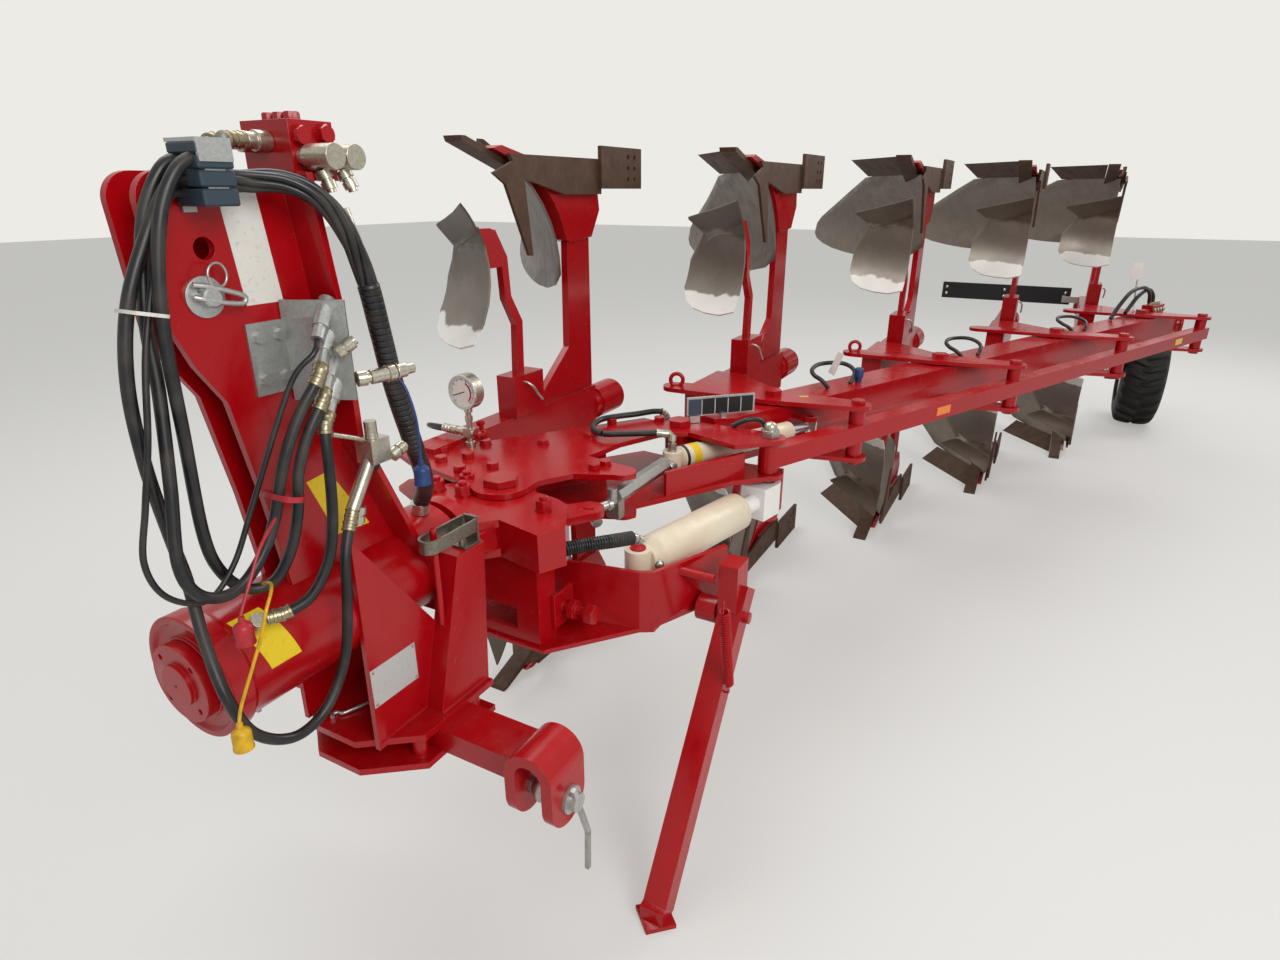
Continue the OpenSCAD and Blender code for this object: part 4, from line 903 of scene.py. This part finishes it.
made("feed_elbow", [
    along([(226, 998, 877), (206, 964, 872), (214, 934, 862), (240, 914, 852), (262, 894, 850)],
          [(0, 16), (10, 16), (11, 12), (34, 12), (35, 15), (48, 15), (49, 11), (86, 11), (87, 14), (98, 14),
           (99, 9)]),
    along([(231, 1296, 877), (233, 1310, 877), (236, 1332, 877)],
          [(0, 24), (3, 26), (9, 26), (12, 22), (26, 19), (34, 19)], 32)],
     turned_steel, "swing_frame")
made("head_plug", hexagons([(228, 1345, 924.5)], (0, 0, 1), 19, 8), red_enamel, "swing_frame")
HEAD_PIVOT = np.array([228.0, 1345.0, 890.0])
ROD_END = np.array([485.06, 1865.79, 890.0])


def on_width(distance):
    """A place on the width cylinder's axis, its distance from the head's pivot."""
    return HEAD_PIVOT + distance * (ROD_END - HEAD_PIVOT) / np.linalg.norm(ROD_END - HEAD_PIVOT)


BAND = [(0, 30), (0.4, 36), (1, 37), (8, 37), (9, 36), (9.4, 30)]
made("width_head_ring", [along([on_width(34), on_width(50)], BAND, 48)], black_plastic, "width_barrel")
made("width_yellow_band", [along([on_width(62), on_width(90)],
                                 [(0, 33.8), (0.2, 34.4), (26, 34.4), (26.2, 33.8)], 48)],
     yellow_vinyl, "width_barrel")


def corrugated(points, radius, pitch=6.0, deep=2.4):
    """Corrugated sleeve: its radius falls by deep * (0.5 + 0.5 cos) ** 2 once every pitch millimetres."""
    route = through(placed(points), pitch / 6000.0)
    wave = np.cos(distances(route) * 2000.0 * np.pi / pitch)
    radii = (radius - deep * (0.5 + 0.5 * wave) ** 2) / 1000.0
    return skin(round_rings(route, radii, 20, (0, 0, 1)))


made("corrugated_sleeve", [corrugated([(170, 690, 858), (228, 712, 864), (277, 772, 866), (326, 826, 866),
                                       (352, 880, 858)], 17)], plain_rubber, "swing_barrel")
made("barrel_ports", [
    along([(370, 984, 751), (382, 968, 752), (393, 953, 756)],
          [(0, 12), (16, 12), (17, 9), (25, 9), (26, 6)]),
    along([(352, 880, 858), (362, 900, 846), (378, 925, 822)], UNION)], turned_steel, "swing_barrel")
made("swing_pin_dome", [along([(462.5, 1524.9, 961), (462.5, 1524.9, 995)],
                              [(0, 27), (4, 27), (5, 19), (18, 19), (24, 16), (28, 10), (30, 4)], 36)],
     zinc_plated, "swing_frame")

# Pressure gauge
# Glycerine gauge in a stainless case: a white face with a red sector, ticks and a needle.

GAUGE = np.array([-262.0, 1020.4, 1105.0])


def face_part(angle, inner, outer, half, lift):
    """A bar on the dial: it points from inner to outer radius at an angle, half a width to each side."""
    out = np.array([math.cos(angle), 0.0, math.sin(angle)])
    side = np.array([-math.sin(angle), 0.0, math.cos(angle)])
    base = GAUGE + np.array([0.0, -lift, 0.0])
    corners = ((inner, -half), (outer, -half), (outer, half), (inner, half))
    return slab([base + r * out + w * side for r, w in corners], (0, -0.4, 0))


made("gauge_bezel", [along([GAUGE + (0, 1, 0), GAUGE + (0, -8, 0)],
                           [(0, 44), (0.1, 50), (4, 50), (6, 48), (6, 44.5), (1.5, 43.5), (1.4, 41)], 72)],
     chrome, "swing_frame")
made("gauge_face", [along([GAUGE + (0, -1.2, 0), GAUGE + (0, -4, 0)],
                          [(0, 43.4), (0.6, 43.4), (0.8, 43.2)], 72)], white_vinyl, "swing_frame")
DIAL_START = 225
LONG_TICK = 27
SHORT_TICK = 5.4
made("gauge_ticks", [face_part(math.radians(DIAL_START - LONG_TICK * k), 33, 40, 0.8, 2.1) for k in range(11)]
     + [face_part(math.radians(DIAL_START - SHORT_TICK * k), 36.5, 40, 0.35, 2.1) for k in range(51)]
     + [face_part(math.radians(200), -9, 34, 1.2, 2.9)], black_plastic, "swing_frame")
made("gauge_sector", [face_part(math.radians(63 - 4 * k), 27, 32, 1.2, 2.1) for k in range(28)], red_pvc,
     "swing_frame")
made("gauge_tee", [
    along([(-322, 1036, 985), (-232, 1036, 985)],
          [(0, 9), (1, 13), (14, 13), (15, 10), (32, 10), (33, 13), (52, 13), (53, 10), (68, 10), (69, 13),
           (82, 13), (83, 8)]),
    along([(-262, 1036, 1058), (-262, 1036, 985)],
          [(0, 8), (1, 12), (12, 12), (13, 8), (24, 8), (25, 11), (40, 11), (41, 9), (72, 9)])],
     zinc_plated, "swing_frame")
made("gauge_valve", [
    along([(-238, 1036, 985), (-200, 1036, 985)], [(0, 12), (4, 17), (20, 17), (24, 12), (34, 12), (36, 8)]),
    along([(-218, 1036, 1000), (-218, 1034, 1014), (-218, 1030, 1030)],
          [(0, 7), (14, 7), (16, 12), (24, 12), (26, 6)])],
     red_enamel, "swing_frame")

# Mouldboards, shares and landsides
# The boards are three-layer steel, hot-pressed and scoured by soil, their grey-brown tones darkened as
# painted shade; shares, points and landsides are forged boron steel with dark rust.


def soil_worn(name, colour, second, rust, rusted, most, metallic, rough):
    """Scoured steel: tones drawn out along the furrow slice by 12 to 1, and rust in clouds of 60 mm."""
    material, tree, place = finish(name)
    drawn = add(tree, "Mapping", Vector=place, Rotation=(0.0, 0.0, math.radians(-45.0)),
                Scale=(1.0, 12.0, 12.0))
    flow = add(tree, "TexNoise", Vector=drawn, Scale=1000.0 / 180.0, Detail=7.0, Roughness=0.6)
    tone = add(tree, "Mix", RGBA, _0=flow, _6=colour, _7=second)
    cloud = add(tree, "TexNoise", Vector=place, Scale=1000.0 / 60.0, Detail=9.0, Roughness=0.68)
    share = add(tree, "MapRange", Value=cloud, From_Min=0.5 - 0.4 * rusted, From_Max=0.75, To_Max=most)
    mixed = add(tree, "Mix", RGBA, _0=share, _6=tone, _7=rust)
    return coated(material, tree, mixed, cloud, rough, 0.3, cloud, 0.45, 0.0012, Metallic=metallic)


# Painted shade: the board's two grey-brown tones are darkened for the shade the boards lie in.
scoured_board_darkened_for_shade = soil_worn("scoured_mouldboard_steel_darkened_for_shade", "#7a6f66", "#6c6057", "#5f5145", 0.2, 0.4, 0.6, 0.28)
rusty_share = soil_worn("rusty_boron_steel", "#563822", "#49311f", "#332013", 0.45, 0.7, 0.12, 0.5)
for k in range(1, 6):
    dressed(f"boards_{k}", scoured_board_darkened_for_shade, edge=0.0, sharp=40.0)
    dressed(f"shares_{k}", rusty_share, edge=0.001)

# Skimmers
# A small pressed board and share on a bent shank in front of each body. The soil has scoured the
# board, and the white primer is left at its outer end. Bent wire pins hold the shank's height.


def scoured_primer():
    """Worn steel, its two tones darkened as painted shade, with white primer where height from the turning
    axis + 0.09 noise is under 0.43 m.
    """
    material, tree, place = finish("scoured_steel_with_painted_shade_and_white_primer")
    height = add(tree, "SeparateXYZ", Vector=place).outputs["Z"]
    away = add(tree, "Math", {"operation": "SUBTRACT"}, _0=height, _1=AXIS_HEIGHT / 1000.0)
    far = add(tree, "Math", {"operation": "ABSOLUTE"}, _0=away)
    edge = add(tree, "TexNoise", Vector=place, Scale=1000.0 / 130.0, Detail=5.0, Roughness=0.5)
    ragged = add(tree, "Math", {"operation": "MULTIPLY_ADD"}, _0=edge, _1=0.09, _2=far)
    worn = add(tree, "MapRange", Value=ragged, From_Min=0.428, From_Max=0.434)
    share = add(tree, "MapRange", Value=ragged, From_Min=0.63, From_Max=0.65, To_Max=0.85)
    flow = add(tree, "TexNoise", Vector=place, Scale=1000.0 / 120.0, Detail=8.0, Roughness=0.62)
    # Painted shade: the scoured steel's two tones are darkened.
    steel = add(tree, "Mix", RGBA, _0=flow, _6="#958d83", _7="#685d52")
    primer = add(tree, "Mix", RGBA, _0=flow, _6="#e4e2dc", _7="#cfcac0")
    rusty = add(tree, "Mix", RGBA, _0=share, _6=steel, _7="#4d3f33")
    tone = add(tree, "Mix", RGBA, _0=worn, _6=primer, _7=rusty)
    shine = add(tree, "Math", {"operation": "MULTIPLY"}, _0=worn, _1=0.6)
    dull = add(tree, "MapRange", Value=flow, To_Min=0.26, To_Max=0.5)
    shader = add(tree, "BsdfPrincipled", Base_Color=tone, Roughness=dull, Metallic=shine)
    add(tree, "OutputMaterial", Surface=shader)
    return material


skimmer_board = scoured_primer()
UNIT_PITCH = np.array([411.0, 911.636, 0.0])
CLAMP_PIN = [(-292, 1316, 188), (-266, 1320, 186), (-252, 1332, 172), (-250, 1352, 146), (-252, 1378, 122)]
for k in range(1, 6):
    dressed(f"skimmers_{k}", red_enamel, [
        (skimmer_board, lambda low, high: high[0] - low[0] > 200 and high[2] - low[2] > 200)])
    pins = [rod(np.array([(x, y, AXIS_HEIGHT + way * z) for x, y, z in CLAMP_PIN]) + (k - 1) * UNIT_PITCH,
                4.2)
            for way in (-1, 1)]
    made(f"clamp_pins_{k}", pins, zinc_plated, frame["nodes"][f"skimmers_{k}"]["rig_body"])

# Reflectors, lamps and hoses at the rear
# Acrylic reflectors stick on the steering tube, a lamp cluster is at each end of the lighting board,
# and short black hoses loop from the beam to the rear valve.

RUN = np.array([0.410989, 0.911636, 0.0])
OUT = np.array([0.911636, -0.410989, 0.0])


def reflector_plastic(name, colour, shade):
    """Acrylic reflector: clear gloss over cells of 2.5 mm in two tones, each with a small bump."""
    material, tree, place = finish(name)
    cells = add(tree, "TexVoronoi", Vector=place, Scale=1000.0 / 2.5)
    value = add(tree, "SeparateColor", Color=cells.outputs["Color"])
    tone = add(tree, "Mix", RGBA, _0=value, _6=colour, _7=shade)
    bump = add(tree, "Bump", Height=cells.outputs["Distance"], Strength=0.5, Distance=0.0006)
    shader = add(tree, "BsdfPrincipled", Base_Color=tone, Roughness=0.12, IOR=1.49, Normal=bump)
    add(tree, "OutputMaterial", Surface=shader)
    return material


orange_acrylic = reflector_plastic("orange_acrylic_reflector", "#e2660d", "#f08a2c")
yellow_acrylic = reflector_plastic("yellow_acrylic_reflector", "#dcae18", "#eac643")
red_acrylic = reflector_plastic("red_acrylic_lamp_lens", "#9c0f12", "#c02022")


def sticker(centre, half_long, half_high, proud):
    """Plate on the tube's outer side: its centre, half its length along the tube and half its height."""
    middle = centre + 0.2 * OUT
    corners = ((-1, -1), (1, -1), (1, 1), (-1, 1))
    return slab([middle + x * half_long * RUN + (0, 0, z * half_high) for x, z in corners], proud * OUT)


made("tube_reflector", [sticker((848, 2309, 884), 42, 15, 3)], orange_acrylic, "steering_tube")
made("rear_reflector", [sticker((1741, 4289, 884), 42, 15, 3)], yellow_acrylic, "steering_tube")
board_body = frame["nodes"]["light_board"]["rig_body"]
made("board_lamps", [block((x - 55, 5460.4, 915), (x + 55, 5486, 989), 6) for x in (470, 1150)], red_acrylic,
     board_body)
made("board_screws", [along([(x, 5439.8, z), (x, 5432, z)], [(0, 9), (2, 9), (4, 6), (6, 3)], 20)
                      for x in (430, 810, 1190) for z in (930, 974)], zinc_plated, board_body)
VALVE_SIDE = np.array([1667.6, 4766.3, 983.0])
made("valve_screws", hexagons([VALVE_SIDE + k * RUN for k in (-60, -20, 20, 60)], OUT, 20, 9), zinc_plated,
     "beam")
LOOP = np.array([(470, 2130, 960), (448, 2120, 986), (414, 2128, 1002), (392, 2180, 1010), (396, 2262, 1014),
                 (446, 2318, 1014), (488, 2330, 1006), (520, 2300, 992), (524, 2262, 972), (518, 2250, 958)])
made("beam_hoses", [rod(LOOP + shift, 8.0, 14, 6.0) for shift in [(0, 0, 0), (361, 782, 0), (772, 1693, 0)]],
     plain_rubber, "beam")
made("number_plate", [slab([(x, 2300, z) for x, z in ((421, 979), (445, 966), (475, 1053), (452, 1059))],
                           (0, -1.6, 0))], white_enamel, "beam")
made("blue_plug", [along([(539, 2290, 957), (539, 2290, 1016)],
                         [(0, 12), (16, 12), (17, 17), (46, 17), (50, 15), (53, 10)])], blue_pvc, "beam")
ARM_TOP = 977.1
made("arm_sticker", [slab([(x, y, ARM_TOP) for x, y in ((437, 1893), (463, 1907), (457, 1918), (431, 1904))],
                          (0, 0, 0.5))], yellow_vinyl, "unit_2")
made("rear_plate_post", [rod([(1538, 4638, 977), (1530, 4660, 1060), (1520, 4668, 1230)], 4.0)], galvanised,
     "unit_5")
made("rear_plate", [slab([(x, 4663, z) for x, z in ((1484, 1152), (1540, 1156), (1536, 1246), (1480, 1242))],
                         (0, -1.6, 0))], white_enamel, "unit_5")
made("rear_hoses", [
    rod([(1612, 4724, 1020), (1600, 4700, 1080), (1560, 4620, 1116), (1500, 4520, 1100), (1450, 4430, 1030),
         (1420, 4380, 965)], 10.5, 14, 8.0),
    rod([(1630, 4759, 1020), (1622, 4748, 1066), (1590, 4700, 1098), (1540, 4600, 1066), (1490, 4500, 985)],
        10.5, 14, 8.0)],
     plain_rubber, frame["nodes"]["rear_valve"]["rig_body"])

# Road wheel
# Bias-ply implement tyre on a white rim, with 22 chevron lugs on each side, 21 mm high.

TYRE_AT = np.array([1780.0, 6000.0, 350.0])
TYRE_RADIUS = 350.0
TYRE_WIDE = 270.0
TYRE_LUGS = 22
LUG_HEIGHT = 21.0
RIM_RADIUS = 197.6
BEAD_INSET = 24.0


def smooth_step(x):
    """3 x^2 - 2 x^3 between 0 and 1, flat outside."""
    x = np.clip(x, 0.0, 1.0)
    return x * x * (3.0 - 2.0 * x)


def tyre_surface(around=24, across=66):
    """Half section by angle q, 0 at the crown: side = half sin(q)^0.62, r = rim + (crown - rim) cos(q)^0.42.

    A lug stands where a saw of angle + 0.6 side / half is in its middle part, half a pitch apart on the two
    sides. It fades at the shoulder and at the middle line. Two rows inside the beads close the ring.
    """
    turn = np.linspace(0.0, 2.0 * np.pi, around * TYRE_LUGS, endpoint=False)[:, None]
    half, crown = TYRE_WIDE / 2.0, TYRE_RADIUS - LUG_HEIGHT
    bend = np.linspace(-1.0, 1.0, across)
    v = np.sin(bend * np.pi / 2.0) * 0.5 + bend * 0.5
    q = np.abs(v) * np.pi / 2.0
    side = half * np.sign(v) * np.abs(np.sin(q)) ** 0.62
    rise = RIM_RADIUS + (crown - RIM_RADIUS) * np.cos(q) ** 0.42
    out = np.abs(side) / half
    saw = (turn * TYRE_LUGS / (2.0 * np.pi) + 0.6 * out[None] + 0.5 * (side[None] > 0.0)) % 1.0
    wide = 0.2 + 0.05 * out
    lug = smooth_step((wide - np.abs(saw - 0.5)) / 0.07)
    reach = smooth_step((rise - (crown - 44.0)) / 30.0)[None] * smooth_step((np.abs(side) - 1.0) / 5.0)[None]
    radius = rise[None] + LUG_HEIGHT * lug * reach
    along_axis = np.broadcast_to(side, radius.shape)
    radius = np.hstack([radius, np.full((len(turn), 2), RIM_RADIUS)])
    inside = np.array([half - BEAD_INSET, BEAD_INSET - half])
    along_axis = np.hstack([along_axis, np.broadcast_to(inside, (len(turn), 2))])
    rings = TYRE_AT + np.stack([along_axis, radius * np.cos(turn), radius * np.sin(turn)], axis=-1)
    return skin(placed(rings), closed=True)


tyre_rubber = enamel("carbon_black_tyre_rubber", "#121212", "#171716", "#4d453b", 0.35, 0.55)
tyre = made("tyre_treaded", [tyre_surface()], tyre_rubber, "wheel", 40.0)
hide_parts("tyre")
